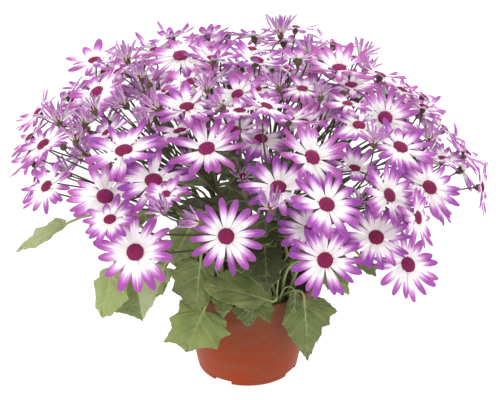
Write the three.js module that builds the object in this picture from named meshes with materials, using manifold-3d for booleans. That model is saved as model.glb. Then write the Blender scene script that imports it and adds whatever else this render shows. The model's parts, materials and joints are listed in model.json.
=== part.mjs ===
// A florist cineraria in a plastic nursery pot.  Millimetres, +Z up, origin at the
// middle of the pot's base, -Y to the front and +X to the right.
//
// The plant is a dome of daisy blooms.  It is built as sprays: each spray is one main
// stem that stands in its own hole in the soil, forks, and carries a dozen or so
// blooms on thin stalks.  Each leaf stands in the soil on a stalk of its own.

import * as THREE from 'three';
import { mergeVertices } from 'three/addons/utils/BufferGeometryUtils.js';
import Module from 'manifold-3d';

const wasm = await Module();
wasm.setup();

const TAU = 2 * Math.PI;
const UP = new THREE.Vector3(0, 0, 1);
const radians = THREE.MathUtils.degToRad;

// ---- driving dimensions --------------------------------------------------------

const POT = { height: 93, rimRadius: 65, baseRadius: 45.5, wall: 2, sides: 18 };
const LIP = { height: 4, proud: 0.8, chamfer: 0.6 };
// The pot stands on a round pad and a foot ring with gaps; the drain holes are between.
const FOOT = { height: 4, innerRadius: 40.5, padRadius: 24, gapWidth: 18 };
FOOT.gapBearings = [-30, 60, 150, 240];
const DRAIN = { count: 4, radius: 4, ring: 33, sides: 6 };
const SOIL = { below: 12, crown: 1.5, gap: 0.3 };

// The blooms' middles lie near a dome: an ellipsoid of revolution about the pot's axis.
const DOME = { spread: 198, rise: 130, centre: 169 };
const SIGHT = { elevation: 26, distance: 1300, aimX: 2, aimZ: 164.5 };

const SPRAYS = { count: 14, widest: 72, heart: 140, holeInner: 5, holeOuter: 31 };
const STEM = { radius: 2.4, tip: 1.7, sides: 4, reach: 0.55, climb: 0.76, lean: 0.14, hurry: 0.72 };
const STALK = { radius: 1.1, sides: 3, bends: [0.45, 0.3, 0.6, 0.15, 0.75] };
STALK.slides = [0, 0.1, -0.1, 0.2, -0.2, 0.3, -0.3, 0.4, -0.4, 0.55, -0.55, 0.7, -0.7];
const ROOT_DEPTH = 12;

// A bloom's head, as shares of its radius: where the petals part, where they are widest,
// how full they are there, and the cone of the disc.  The rest is in mm.
const HEAD = { notch: 0.27, shoulder: 0.74, fullness: 0.84, cone: 0.1, ridgeAt: 0.62 };
const PETAL = { half: 0.8, ridge: 0.5, ridgedFrom: 57 };
const CALYX = 6;
// How an open and a half-open bloom hold their petals: the rise for each mm out from the
// disc, and the share of their length that they reach sideways.
const POSE = {
  open: { rise: 0.03, reach: 1 },
  half: { rise: 0.95, reach: 0.78 },
  bud: { rise: 0, reach: 1 },
};

const LEAF = { thickness: 0.8, stalk: 1.5, rootRing: 43, arch: 0.22, wave: 0.03 };
const RIB_SHARES = [0, 0.3, 0.62, 1];
const CLEAR = 0.35;

const COLOURS = { pot: '#a8502f', soil: '#2b211b', bloom: '#b877d6', leaf: '#7f9658' };

// ---- blooms --------------------------------------------------------------------
// Each row is one bloom, placed on the plane that faces the viewer, who looks at the
// dome from 26 degrees above level: mm to the right of the middle, mm up from it, the
// bloom's diameter, and the degrees its face turns right and up from the viewer.

const OPEN_BLOOMS = [
  // the low front
  [-101, -46, 63, -5, 12], [-21, -32, 59, 0, 10], [66, -53, 58, 0, 6], [139, -57, 59, 26, 20],
  [-85, 17, 65, 0, 40], [-129, 3, 64, 6, 34], [-110, 43, 66, -8, 50], [-38, 45, 62, -10, 38],
  [25, 11, 59, 5, 36], [54, 37, 59, 22, 28], [66, -4, 58, 12, 30], [111, -33, 57, 5, 25],
  [55, -26, 52, 0, 30], [93, 28, 45, 8, 56], [-122, -17, 46, -10, 45], [-73, 5, 35, -5, 45],
  // the right shoulder
  [119, 72, 57, 6, 20], [131, 46, 58, 18, 45], [158, 11, 59, 22, 30], [120, 4, 53, 35, 22],
  [143, -15, 50, 55, 15], [204, 11, 48, 75, 5], [187, 41, 43, 35, 75], [171, 37, 38, 5, 66],
  [153, 82, 41, 15, 64], [134, 97, 44, 25, 74], [146, 90, 39, 30, 80], [125, 91, 42, 38, 52],
  [171, 63, 41, 38, 74], [114, 109, 45, 20, 76],
  // the left shoulder
  [-179, 12, 50, -32, 40], [-182, 49, 56, -30, 50], [-135, 95, 58, -28, 42], [-137, 123, 54, -12, 60],
  [-129, 116, 48, -40, 55], [-194, 55, 49, -45, 72], [-161, 91, 51, -48, 68], [-187, 77, 48, -42, 64],
  [-150, 104, 43, -20, 82], [-116, 113, 41, -25, 58], [-127, 60, 43, -30, 60],
  // the middle and the crown
  [-55, 81, 56, -5, 54], [-61, 127, 63, -5, 48], [78, 115, 61, 2, 60], [10, 55, 51, 5, 48],
  [-13, 62, 48, 3, 54], [95, 65, 49, 5, 50], [90, 102, 51, 2, 62], [6, 123, 55, 12, 60],
  [-11, 93, 48, -20, 42], [5, 99, 47, 8, 52], [-52, 104, 47, -12, 50], [48, 69, 44, 0, 54],
  [46, 98, 44, 3, 62], [-32, 122, 48, 5, 62], [-83, 132, 52, -5, 66], [1, 134, 46, 0, 70],
  [-63, 62, 52, -10, 70], [-9, 77, 47, 0, 72], [14, 80, 46, 18, 62], [34, 72, 47, 5, 68],
  [-69, 143, 47, -12, 80], [-20, 146, 49, 0, 88], [-37, 138, 44, -5, 82], [4, 144, 43, 0, 96],
  [40, 152, 41, 5, 84], [74, 137, 47, 18, 80], [92, 125, 40, 15, 80], [64, 125, 37, 8, 78],
  [42, 122, 42, 0, 92], [85, 84, 40, 5, 66],
];

const HALF_OPEN_BLOOMS = [
  [18, -6, 35, -6, 60], [112, -26, 42, 2, 62], [134, -14, 37, 58, 40], [96, 0, 26, 5, 50],
  [113, 16, 26, 5, 45], [107, 50, 35, 10, 58], [-75, -9, 32, -20, 40], [-46, -19, 32, -58, 28],
  [-167, 70, 46, -10, 62], [-153, 55, 36, 2, 62], [-106, 122, 41, -4, 64], [-96, 109, 34, -10, 56],
  [-112, 84, 36, -44, 50], [-92, 70, 35, -12, 58], [-82, 80, 39, -38, 46], [-135, 79, 30, -16, 60],
  [-37, 97, 34, 0, 60], [-26, 81, 33, -48, 42], [26, 143, 43, -4, 66], [52, 130, 39, 4, 70],
  [24, 99, 32, -20, 56], [62, 92, 27, 4, 60], [158, 54, 38, 10, 60], [-143, 69, 30, 20, 60],
];

const BUDS = [
  [-89, 103, 8, -10, 60], [-191, 32, 8, -40, 30], [-165, 48, 8, -20, 50],
  [82, 95, 8, 10, 60], [107, 21, 8, 20, 50], [-4, 7, 8, 0, 40],
];

// The far side of the dome: rings of blooms between two bearings, counted from the front.
const BACK_RINGS = [
  { rise: 0, count: 7, from: 104, to: 256 },
  { rise: 17, count: 7, from: 95, to: 265 },
  { rise: 34, count: 6, from: 108, to: 252 },
  { rise: 51, count: 4, from: 130, to: 230 },
];
const BACK = { diameter: 52, spreadDiameter: 6, lean: 25, turn: 8, jitter: 6 };

// ---- leaves --------------------------------------------------------------------
// Half outlines as [along, across], from the stalk's joint to the tip: along is a
// share of the leaf's length and across a share of half its width.

const PALMATE = [[-0.16, 0.36], [-0.02, 0.86], [0.14, 0.7], [0.3, 1], [0.5, 0.6], [0.66, 0.64]];
const LANCE = [[0, 0.4], [0.16, 1], [0.38, 0.96], [0.46, 0.72], [0.54, 0.84], [0.8, 0.5]];

// joint and tip in mm, width, the way the top face looks, bearing of the root, and how
// far the two halves fold down from the midrib.
const PLACED_LEAVES = [
  { joint: [-38, -66, 90], tip: [-53, -84, 60], width: 60, face: [-0.1, -0.75, 0.6], root: -34, fold: 0.1 },
  { joint: [-40, -68, 138], tip: [-43, -88, 103], width: 46, face: [-0.3, -0.8, 0.5], root: -22, fold: 0.12 },
  { joint: [20, -66, 100], tip: [-37, -88, 128], width: 50, face: [0.1, -0.6, 0.8], root: 12, fold: 0.14 },
  { joint: [-20, -60, 107], tip: [-21, -77, 90], width: 26, face: [-0.2, -0.7, 0.6], root: -12, fold: 0.1 },
  { joint: [8, -60, 103], tip: [2, -78, 82], width: 34, face: [0, -0.8, 0.6], root: 0, fold: -0.1 },
  { joint: [49, -60, 96], tip: [52, -79, 48], width: 50, face: [0.2, -0.9, 0.4], root: 32, fold: 0.12 },
  { joint: [58, -74, 138], tip: [84, -86, 128], width: 34, face: [0.3, -0.5, 0.8], root: 45, fold: 0.1 },
  { joint: [-95, -90, 146], tip: [-88, -98, 99], width: 44, face: [0.2, -0.9, 0.3], root: -46, fold: 0.35 },
  { joint: [-112, -104, 148], tip: [-120, -118, 114], width: 34, face: [-0.3, -0.8, 0.5], root: -62, fold: 0.1 },
  { joint: [-153, -62, 172], tip: [-195, -74, 152], width: 15, face: [-0.3, -0.6, 0.8], root: -76, outline: LANCE,
    fold: 0.2 },
  { joint: [92, -106, 165], tip: [105, -114, 151], width: 20, face: [0.3, -0.6, 0.7], root: 56, fold: 0.1 },
  { joint: [-47, -88, 182], tip: [-62, -102, 156], width: 34, face: [-0.3, -0.7, 0.6], root: -28, fold: 0.1 },
];
// The other leaves, in rings that pass between the stems: the low ones hang over the
// pot's rim and the high ones stand inside the dome.
const LEAF_RINGS = [
  { bearings: [78, 122, 160, 200, 240, 282], radius: 76, height: 104, drop: 36, reach: 18, width: 54 },
  { bearings: [98, 148, 174, 227, 259], radius: 90, height: 142, drop: 24, reach: 34, width: 44 },
  { bearings: [-48, -22, 10, 37], radius: 40, height: 146, drop: -14, reach: 30, width: 30 },
  { bearings: [84, 200, 270], radius: 54, height: 178, drop: -8, reach: 34, width: 38 },
];

// ---- small tools ---------------------------------------------------------------

function randomDraws(seed) {
  let state = seed;
  return () => {
    state = (state * 1664525 + 1013904223) % 4294967296;
    return state / 4294967296;
  };
}

const point = (radius, bearing, height) =>
  new THREE.Vector3(radius * Math.sin(bearing), -radius * Math.cos(bearing), height);

// A closed body under construction: points, and triangles whose faces point out.
class Skin {
  constructor() {
    this.points = [];
    this.faces = [];
  }

  add(position) {
    this.points.push(position);
    return this.points.length - 1;
  }

  face(a, b, c) {
    this.faces.push(a, b, c);
  }

  solid() {
    const vertProperties = new Float32Array(this.points.flatMap((p) => p.toArray()));
    const mesh = new wasm.Mesh({ numProp: 3, vertProperties, triVerts: new Uint32Array(this.faces) });
    return new wasm.Manifold(mesh);
  }
}

function solidOf(geometry) {
  const bare = geometry.clone();
  bare.deleteAttribute('normal');
  bare.deleteAttribute('uv');
  const merged = mergeVertices(bare, 1e-4);
  const mesh = new wasm.Mesh({
    numProp: 3,
    vertProperties: new Float32Array(merged.attributes.position.array),
    triVerts: new Uint32Array(merged.index.array),
  });
  return new wasm.Manifold(mesh);
}

function meshOf(name, solid, colour, roughness) {
  const { vertProperties, triVerts } = solid.getMesh();
  const geometry = new THREE.BufferGeometry();
  geometry.setAttribute('position', new THREE.BufferAttribute(new Float32Array(vertProperties), 3));
  geometry.setIndex(new THREE.BufferAttribute(new Uint32Array(triVerts), 1));
  geometry.computeVertexNormals();
  const material = new THREE.MeshStandardMaterial({ color: colour, roughness, metalness: 0 });
  const mesh = new THREE.Mesh(geometry, material);
  mesh.name = name;
  return mesh;
}

// Only the largest body of a cut solid is kept: a scrap that a cut sets free is dropped.
function largestBody(solid) {
  const bodies = solid.decompose();
  return bodies.reduce((best, body) => (body.volume() > best.volume() ? body : best));
}

function joined(solids) {
  return solids.reduce((whole, solid) => whole.add(solid));
}

function sideOf(direction) {
  const guide = Math.abs(direction.z) > 0.9 ? new THREE.Vector3(0, 1, 0) : UP;
  return new THREE.Vector3().crossVectors(guide, direction).normalize();
}

// A ring of points square to the direction, for a stem.
function ring(skin, centre, direction, radius, sides, across) {
  const forward = direction.clone().normalize();
  const side = across.clone().addScaledVector(forward, -across.dot(forward)).normalize();
  const other = new THREE.Vector3().crossVectors(forward, side);
  const ids = [];
  for (let k = 0; k < sides; k += 1) {
    const turn = (TAU * k) / sides;
    const offset = side.clone().multiplyScalar(radius * Math.cos(turn));
    offset.addScaledVector(other, radius * Math.sin(turn));
    ids.push(skin.add(centre.clone().add(offset)));
  }
  return ids;
}

// Joins rings of equal count into a closed tube wall, from the first ring to the last.
function wall(skin, rings) {
  for (let r = 0; r + 1 < rings.length; r += 1) {
    const [low, high] = [rings[r], rings[r + 1]];
    low.forEach((_, k) => {
      const next = (k + 1) % low.length;
      skin.face(low[k], low[next], high[next]);
      skin.face(low[k], high[next], high[k]);
    });
  }
}

// Joins a stalk's last ring to a larger loop of points round its end.
function sleeve(skin, small, large) {
  let done = 0;
  large.forEach((_, k) => {
    const next = (k + 1) % large.length;
    skin.face(small[done % small.length], large[next], large[k]);
    if (Math.round(((k + 1) * small.length) / large.length) > done) {
      skin.face(small[done % small.length], small[(done + 1) % small.length], large[next]);
      done += 1;
    }
  });
}

function cap(skin, ids, flip) {
  for (let k = 1; k + 1 < ids.length; k += 1) {
    if (flip) skin.face(ids[0], ids[k + 1], ids[k]);
    else skin.face(ids[0], ids[k], ids[k + 1]);
  }
}

// The rings of a tapered stem along a path, from its first point to its last.
function stemRings(skin, path, radiusAt, sides, guide) {
  let across = guide?.clone() ?? sideOf(path[1].clone().sub(path[0]));
  return path.map((centre, k) => {
    const before = path[Math.max(k - 1, 0)];
    const after = path[Math.min(k + 1, path.length - 1)];
    const direction = after.clone().sub(before).normalize();
    across = across.clone().addScaledVector(direction, -across.dot(direction)).normalize();
    return ring(skin, centre, direction, radiusAt(k / (path.length - 1)), sides, across);
  });
}

function stem(path, startRadius, endRadius, sides, guide) {
  const skin = new Skin();
  const radiusAt = (share) => THREE.MathUtils.lerp(startRadius, endRadius, share);
  const rings = stemRings(skin, path, radiusAt, sides, guide);
  wall(skin, rings);
  cap(skin, rings[0], true);
  cap(skin, rings.at(-1), false);
  return skin.solid();
}

const curvePoints = (a, b, c, steps) => new THREE.QuadraticBezierCurve3(a, b, c).getPoints(steps);

// ---- pot and soil --------------------------------------------------------------

const potRadiusAt = (height) =>
  THREE.MathUtils.lerp(POT.baseRadius, POT.rimRadius - LIP.proud, height / POT.height);

function lathe(profile) {
  const points = profile.map(([radius, height]) => new THREE.Vector2(radius, height));
  const geometry = new THREE.LatheGeometry(points, POT.sides);
  geometry.rotateX(Math.PI / 2);
  return solidOf(geometry);
}

function makePot() {
  const { height, rimRadius, baseRadius, wall: thick } = POT;
  const lipFoot = height - LIP.height;
  const floorTop = FOOT.height + thick;
  const shell = lathe([
    [0, 0], [FOOT.padRadius, 0], [FOOT.padRadius + 1, FOOT.height], [FOOT.innerRadius - 0.5, FOOT.height],
    [FOOT.innerRadius, 0], [baseRadius, 0], [potRadiusAt(lipFoot), lipFoot], [rimRadius, lipFoot + 1],
    [rimRadius, height - LIP.chamfer], [rimRadius - LIP.chamfer, height], [rimRadius - thick, height],
    [potRadiusAt(floorTop) - thick, floorTop], [FOOT.padRadius - 1, floorTop],
    [FOOT.padRadius - thick, thick], [0, thick],
  ]);
  const cuts = [];
  for (let k = 0; k < DRAIN.count; k += 1) {
    const hole = new THREE.CylinderGeometry(DRAIN.radius, DRAIN.radius, 3 * thick, DRAIN.sides);
    hole.rotateX(Math.PI / 2);
    const centre = point(DRAIN.ring, (TAU * k) / DRAIN.count, FOOT.height + thick / 2);
    cuts.push(solidOf(hole.translate(centre.x, centre.y, centre.z)));
  }
  const footDepth = baseRadius - FOOT.innerRadius;
  for (const degrees of FOOT.gapBearings) {
    const gap = new THREE.BoxGeometry(FOOT.gapWidth, 3 * footDepth, 2 * (FOOT.height - 0.1));
    const bearing = radians(degrees);
    const centre = point(baseRadius, bearing, 0);
    gap.rotateZ(bearing);
    cuts.push(solidOf(gap.translate(centre.x, centre.y, centre.z)));
  }
  return shell.subtract(joined(cuts));
}

const soilTop = POT.height - SOIL.below;

function makeSoil(holes) {
  const { gap } = SOIL;
  const floorTop = FOOT.height + POT.wall + gap;
  // The extra gap clears the flats of the pot's faceted wall.
  const radiusAt = (height) => potRadiusAt(height) - POT.wall - 1.2 * gap;
  const wellRadius = FOOT.padRadius - POT.wall - 0.5;
  const plug = lathe([
    [0, POT.wall + gap], [wellRadius, POT.wall + gap], [wellRadius + 1, floorTop],
    [radiusAt(floorTop) - gap, floorTop], [radiusAt(soilTop) - gap, soilTop], [0, soilTop + SOIL.crown],
  ]);
  return plug.subtract(joined(holes));
}

// The bottom of a root and where it leaves the soil.
function rootPoints(radius, bearing) {
  const bottom = point(radius, bearing, soilTop - ROOT_DEPTH + SOIL.gap);
  const top = point(radius, bearing, soilTop + 3);
  return [bottom, top];
}

// A plain blind hole in the soil, a little wider than the stem that stands in it.
function rootHole(radius, bearing, stemRadius, sides, guide) {
  const bottom = point(radius, bearing, soilTop - ROOT_DEPTH);
  const top = point(radius, bearing, soilTop + 8);
  const wide = stemRadius + SOIL.gap / Math.cos(Math.PI / sides);
  return stem([bottom, top], wide, wide, sides, guide);
}

// ---- where the blooms are ------------------------------------------------------

const sight = (() => {
  const elevation = radians(SIGHT.elevation);
  const towards = new THREE.Vector3(0, -Math.cos(elevation), Math.sin(elevation));
  const right = new THREE.Vector3(1, 0, 0);
  const up = new THREE.Vector3(0, Math.sin(elevation), Math.cos(elevation));
  const aim = new THREE.Vector3(SIGHT.aimX, 0, SIGHT.aimZ);
  return { towards, right, up, aim, eye: aim.clone().addScaledVector(towards, SIGHT.distance) };
})();

// Where the sight line through a point of the facing plane meets the dome, or comes
// nearest to it at the dome's edge.
function onDome(across, rise) {
  const target = sight.aim.clone().addScaledVector(sight.right, across).addScaledVector(sight.up, rise);
  const line = target.sub(sight.eye).normalize();
  const scale = new THREE.Vector3(1 / DOME.spread, 1 / DOME.spread, 1 / DOME.rise);
  const start = sight.eye.clone().sub(new THREE.Vector3(0, 0, DOME.centre)).multiply(scale);
  const step = line.clone().multiply(scale);
  const [a, b, c] = [step.dot(step), 2 * start.dot(step), start.dot(start) - 1];
  const root = b * b - 4 * a * c;
  const travel = (-b - Math.sqrt(Math.max(root, 0))) / (2 * a);
  return sight.eye.clone().addScaledVector(line, travel);
}

function facing(turn, lift) {
  const level = sight.towards.clone().multiplyScalar(Math.cos(radians(lift)));
  level.addScaledVector(sight.up, Math.sin(radians(lift))).multiplyScalar(Math.cos(radians(turn)));
  return level.addScaledVector(sight.right, Math.sin(radians(turn))).normalize();
}

const petalCount = (kind, diameter) => {
  if (kind === 'half') return 5;
  if (diameter >= 60) return 8;
  return diameter >= 52 ? 7 : 6;
};

function placedBlooms(rows, kind) {
  return rows.map(([across, rise, diameter, turn, lift]) => ({
    kind,
    radius: diameter / 2,
    centre: onDome(across, rise),
    face: facing(turn, lift),
    petals: petalCount(kind, diameter),
  }));
}

function backBlooms() {
  const draw = randomDraws(7);
  const spread = (width) => (draw() - 0.5) * 2 * width;
  const blooms = [];
  for (const [row, { rise, count, from, to }] of BACK_RINGS.entries()) {
    for (let k = 0; k < count; k += 1) {
      const bearing = radians(THREE.MathUtils.lerp(from, to, k / (count - 1)) + spread(BACK.jitter / 2));
      const height = radians(rise + spread(BACK.jitter / 2));
      const level = DOME.centre + DOME.rise * Math.sin(height);
      const centre = point(DOME.spread * Math.cos(height), bearing, level);
      const lean = radians(BACK.lean + rise * 0.6 + spread(BACK.turn));
      const turned = bearing + radians(spread(BACK.turn));
      const face = point(Math.cos(lean), turned, Math.sin(lean));
      const diameter = BACK.diameter + spread(BACK.spreadDiameter);
      const kind = (k + row) % 5 === 3 ? 'half' : 'open';
      const radius = kind === 'half' ? diameter / 3 : diameter / 2;
      blooms.push({ kind, radius, centre, face, petals: petalCount(kind, diameter) });
    }
  }
  return blooms;
}

// How high a petal's middle stands over the bloom's own plane, a distance from its axis.
function petalHeight(bloom, distance) {
  return Math.max(distance - HEAD.notch * bloom.radius, 0) * POSE[bloom.kind].rise;
}

// Two blooms cross where a petal line of one goes through the petals of the other.
const PETAL_LINES = 12;
const LINE_STEPS = [0, 0.35, 0.7, 1];
function cuts(one, other) {
  const across = sideOf(one.face);
  const over = new THREE.Vector3().crossVectors(one.face, across);
  const { reach: oneReach } = POSE[one.kind];
  const { reach: otherReach } = POSE[other.kind];
  for (let k = 0; k < PETAL_LINES; k += 1) {
    const turn = (TAU * k) / PETAL_LINES;
    const line = across.clone().multiplyScalar(Math.cos(turn)).addScaledVector(over, Math.sin(turn));
    let before = 0;
    for (const share of LINE_STEPS) {
      const distance = one.radius * share;
      const spot = one.centre.clone().addScaledVector(line, distance * oneReach)
        .addScaledVector(one.face, petalHeight(one, distance)).sub(other.centre);
      const height = spot.dot(other.face);
      const reach = Math.sqrt(Math.max(spot.lengthSq() - height * height, 0)) / otherReach;
      const above = height - petalHeight(other, reach);
      const inside = reach < other.radius + 1;
      if (inside && (Math.abs(above) < 2 || before * above < 0)) return true;
      before = inside ? above : 0;
    }
  }
  return false;
}

// Small moves along the sight line and along the bloom's face, the smallest first.
const NUDGE = { along: [0, 12, -12, 24, -24, 36, -36, 48, -48], up: [0, 5, -5, 10, -10], alongCost: 0.2 };
const NUDGES = NUDGE.along.flatMap((along) => NUDGE.up.map((up) => [along, up]))
  .sort((a, b) => nudgeCost(a) - nudgeCost(b));

function nudgeCost([along, up]) {
  return Math.abs(along) * NUDGE.alongCost + Math.abs(up) + (along < 0 ? 0.1 : 0) + (up < 0 ? 0.2 : 0);
}

// Each bloom keeps its place or takes the least move that is clear of those before it.
function settle(blooms) {
  const settled = [];
  for (const bloom of blooms) {
    const home = bloom.centre.clone();
    let fewest = Infinity;
    let best = home;
    for (const [along, up] of NUDGES) {
      bloom.centre = home.clone().addScaledVector(sight.towards, along).addScaledVector(bloom.face, up);
      const clashes = settled.filter((other) => bloom.centre.distanceTo(other.centre)
        < bloom.radius + other.radius + 2 && (cuts(bloom, other) || cuts(other, bloom))).length;
      if (clashes < fewest) {
        fewest = clashes;
        best = bloom.centre;
      }
      if (fewest === 0) break;
    }
    bloom.centre = best;
    settled.push(bloom);
  }
  return settled;
}

// ---- sprays --------------------------------------------------------------------

// Directions spread evenly over the dome, from the crown down to its edge.
function sprayDirections() {
  const goldenAngle = Math.PI * (3 - Math.sqrt(5));
  const lowest = 1 - Math.cos(radians(SPRAYS.widest));
  return Array.from({ length: SPRAYS.count }, (_, k) => {
    const fall = Math.acos(1 - ((k + 0.5) / SPRAYS.count) * lowest);
    const bearing = k * goldenAngle;
    return { fall, bearing, axis: point(Math.sin(fall), bearing, Math.cos(fall)) };
  });
}

function gatherSprays(blooms) {
  const heart = new THREE.Vector3(0, 0, SPRAYS.heart);
  const sprays = sprayDirections().map((direction) => ({ ...direction, blooms: [] }));
  for (const bloom of blooms) {
    const way = bloom.centre.clone().sub(heart).normalize();
    const nearer = (best, spray) => (spray.axis.dot(way) > best.axis.dot(way) ? spray : best);
    const nearest = sprays.reduce(nearer);
    nearest.blooms.push(bloom);
  }
  sprays.forEach((spray, k) => {
    const share = Math.sqrt(k / (sprays.length - 1));
    const radius = THREE.MathUtils.lerp(SPRAYS.holeInner, SPRAYS.holeOuter, share);
    const [bottom, top] = rootPoints(radius, spray.bearing);
    const middle = spray.blooms.reduce((sum, b) => sum.add(b.centre), new THREE.Vector3());
    middle.divideScalar(spray.blooms.length);
    const outward = Math.hypot(middle.x, middle.y);
    const end = point(THREE.MathUtils.lerp(radius, outward, STEM.reach), spray.bearing,
      THREE.MathUtils.lerp(top.z, middle.z, STEM.climb));
    const bend = point(THREE.MathUtils.lerp(radius, outward, STEM.lean), spray.bearing,
      THREE.MathUtils.lerp(top.z, end.z, STEM.hurry));
    const path = [bottom, ...curvePoints(top, bend, end, 3)];
    Object.assign(spray, { radius, path });
  });
  return sprays;
}

// ---- stalks --------------------------------------------------------------------

function stalkPath({ centre, face }, fork, bendShare) {
  const foot = centre.clone().addScaledVector(face, -CALYX);
  const bend = foot.clone().addScaledVector(face, -bendShare * foot.distanceTo(fork));
  return curvePoints(fork, bend, foot, 2);
}

// The least distance between two straight stretches.
function stretchGap([a, b], [c, d]) {
  const [u, v, w] = [b.clone().sub(a), d.clone().sub(c), a.clone().sub(c)];
  const [uu, uv, vv, uw, vw] = [u.dot(u), u.dot(v), v.dot(v), u.dot(w), v.dot(w)];
  const clamp = (x) => Math.min(Math.max(x, 0), 1);
  const flat = uu * vv - uv * uv;
  let s = flat > 1e-9 ? clamp((uv * vw - vv * uw) / flat) : 0;
  const t = clamp((uv * s + vw) / vv);
  s = clamp((uv * t - uw) / uu);
  return w.addScaledVector(u, s).addScaledVector(v, -t).length();
}

const stretches = (path) => path.slice(1).map((end, k) => [path[k], end]);

function pierces([start, end], bloom) {
  const height = start.clone().sub(bloom.centre).dot(bloom.face);
  const drop = start.clone().sub(end).dot(bloom.face);
  const share = height / drop;
  if (!(share > 0 && share < 1)) return false;
  return start.clone().lerp(end, share).distanceTo(bloom.centre) < bloom.radius;
}

// Each stalk takes the first of a few routes that stays clear of the other sprays' stems
// and stalks, and that goes through the fewest of their blooms.
function routeStalks(sprays) {
  const taken = sprays.map((spray) => stretches(spray.path).map((line) => ({ line, radius: STEM.radius })));
  sprays.forEach((spray, own) => {
    const [low, crotch, end] = spray.path.slice(-3);
    const along = new THREE.CurvePath();
    along.add(new THREE.LineCurve3(low.clone().lerp(crotch, 0.3), crotch));
    along.add(new THREE.LineCurve3(crotch, end));
    spray.blooms.sort((a, b) => a.centre.z - b.centre.z);
    spray.blooms.forEach((bloom, n) => {
      let least = Infinity;
      for (const bendShare of STALK.bends) {
        for (const slide of STALK.slides) {
          const share = (n + 0.5) / spray.blooms.length + slide;
          if (share < 0.02 || share > 0.98) continue;
          const path = stalkPath(bloom, along.getPoint(share), bendShare);
          const lines = stretches(path);
          const tooClose = taken.flatMap((list, k) => (k === own ? [] : list)).filter(({ line, radius }) =>
            lines.some((mine) => stretchGap(mine, line) < radius + STALK.radius + 2 * CLEAR)).length;
          const through = sprays.flatMap((other) => other.blooms)
            .filter((other) => other !== bloom && lines.some((line) => pierces(line, other))).length;
          const crossing = taken[own].filter(({ line, radius }) => radius === STALK.radius
            && lines.some((mine) => stretchGap(mine, line) < 2 * radius)).length;
          const cost = 100 * tooClose + through + 0.5 * crossing;
          if (cost < least) {
            least = cost;
            bloom.path = path;
          }
        }
      }
      taken[own].push(...stretches(bloom.path).map((line) => ({ line, radius: STALK.radius })));
    });
  });
}

// ---- bloom heads ---------------------------------------------------------------

// A head of petals on a thin stalk, as one skin.  Each petal is a lozenge with a
// raised midline, the disc is a low cone and the calyx runs down into the stalk.
function bloomSolid(bloom, path, grow = 0) {
  const skin = new Skin();
  const { centre, face, petals } = bloom;
  const radius = bloom.radius;
  const rings = stemRings(skin, path, () => STALK.radius + grow, STALK.sides);
  wall(skin, rings);
  cap(skin, rings[0], true);

  const across = skin.points[rings.at(-1)[0]].clone().sub(path.at(-1));
  across.addScaledVector(face, -across.dot(face)).normalize();
  const over = new THREE.Vector3().crossVectors(face, across);
  const { reach } = POSE[bloom.kind];
  const spot = (distance, turn, height) => {
    const out = across.clone().multiplyScalar(Math.cos(turn)).addScaledVector(over, Math.sin(turn));
    const place = centre.clone().addScaledVector(out, distance * reach);
    return skin.add(place.addScaledVector(face, height + petalHeight(bloom, distance)));
  };
  const pitch = TAU / petals;
  const halfWidth = (HEAD.fullness * pitch) / 2 + grow / (HEAD.shoulder * radius);
  const top = [];
  const bottom = [];
  for (let k = 0; k < petals; k += 1) {
    const turn = (k - 0.5) * pitch;
    top.push(spot(HEAD.notch * radius + grow, turn, PETAL.half + grow));
    bottom.push(spot(HEAD.notch * radius + grow, turn, -PETAL.half - grow));
  }
  const apex = spot(0, 0, PETAL.half + HEAD.cone * radius + grow);
  for (let k = 0; k < petals; k += 1) {
    const next = (k + 1) % petals;
    const turn = k * pitch;
    const low = spot(HEAD.shoulder * radius, turn - halfWidth, 0);
    const tip = spot(radius + grow, turn, 0);
    const high = spot(HEAD.shoulder * radius, turn + halfWidth, 0);
    if (2 * radius >= PETAL.ridgedFrom) {
      const ridge = spot(HEAD.ridgeAt * radius, turn, PETAL.ridge + PETAL.half + 1.5 * grow);
      skin.face(top[k], low, ridge);
      skin.face(low, tip, ridge);
      skin.face(tip, high, ridge);
      skin.face(high, top[next], ridge);
      skin.face(top[next], top[k], ridge);
    } else {
      skin.face(top[k], low, tip);
      skin.face(top[k], tip, top[next]);
      skin.face(top[next], tip, high);
    }
    skin.face(bottom[k], tip, low);
    skin.face(bottom[k], bottom[next], tip);
    skin.face(bottom[next], high, tip);
    skin.face(top[k], bottom[k], low);
    skin.face(top[next], high, bottom[next]);
    skin.face(top[k], top[next], apex);
  }
  sleeve(skin, rings.at(-1), bottom);
  return skin.solid();
}

// A closed bud: a small spindle at the end of its stalk.
function budSolid(bloom, path, grow = 0) {
  const skin = new Skin();
  const { centre, face, radius } = bloom;
  const rings = stemRings(skin, path, () => STALK.radius + grow, STALK.sides);
  const across = skin.points[rings.at(-1)[0]].clone().sub(path.at(-1)).normalize();
  rings.push(ring(skin, centre, face, radius + grow, STALK.sides, across));
  wall(skin, rings);
  cap(skin, rings[0], true);
  const tip = skin.add(centre.clone().addScaledVector(face, radius * 1.6 + grow));
  const last = rings.at(-1);
  last.forEach((_, k) => skin.face(last[k], last[(k + 1) % last.length], tip));
  return skin.solid();
}

// ---- leaves --------------------------------------------------------------------

function leafFrame({ joint, tip, face }) {
  const along = tip.clone().sub(joint);
  const length = along.length();
  along.normalize();
  const normal = face.clone().addScaledVector(along, -face.dot(along)).normalize();
  const across = new THREE.Vector3().crossVectors(normal, along);
  return { along, normal, across, length };
}

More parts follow.
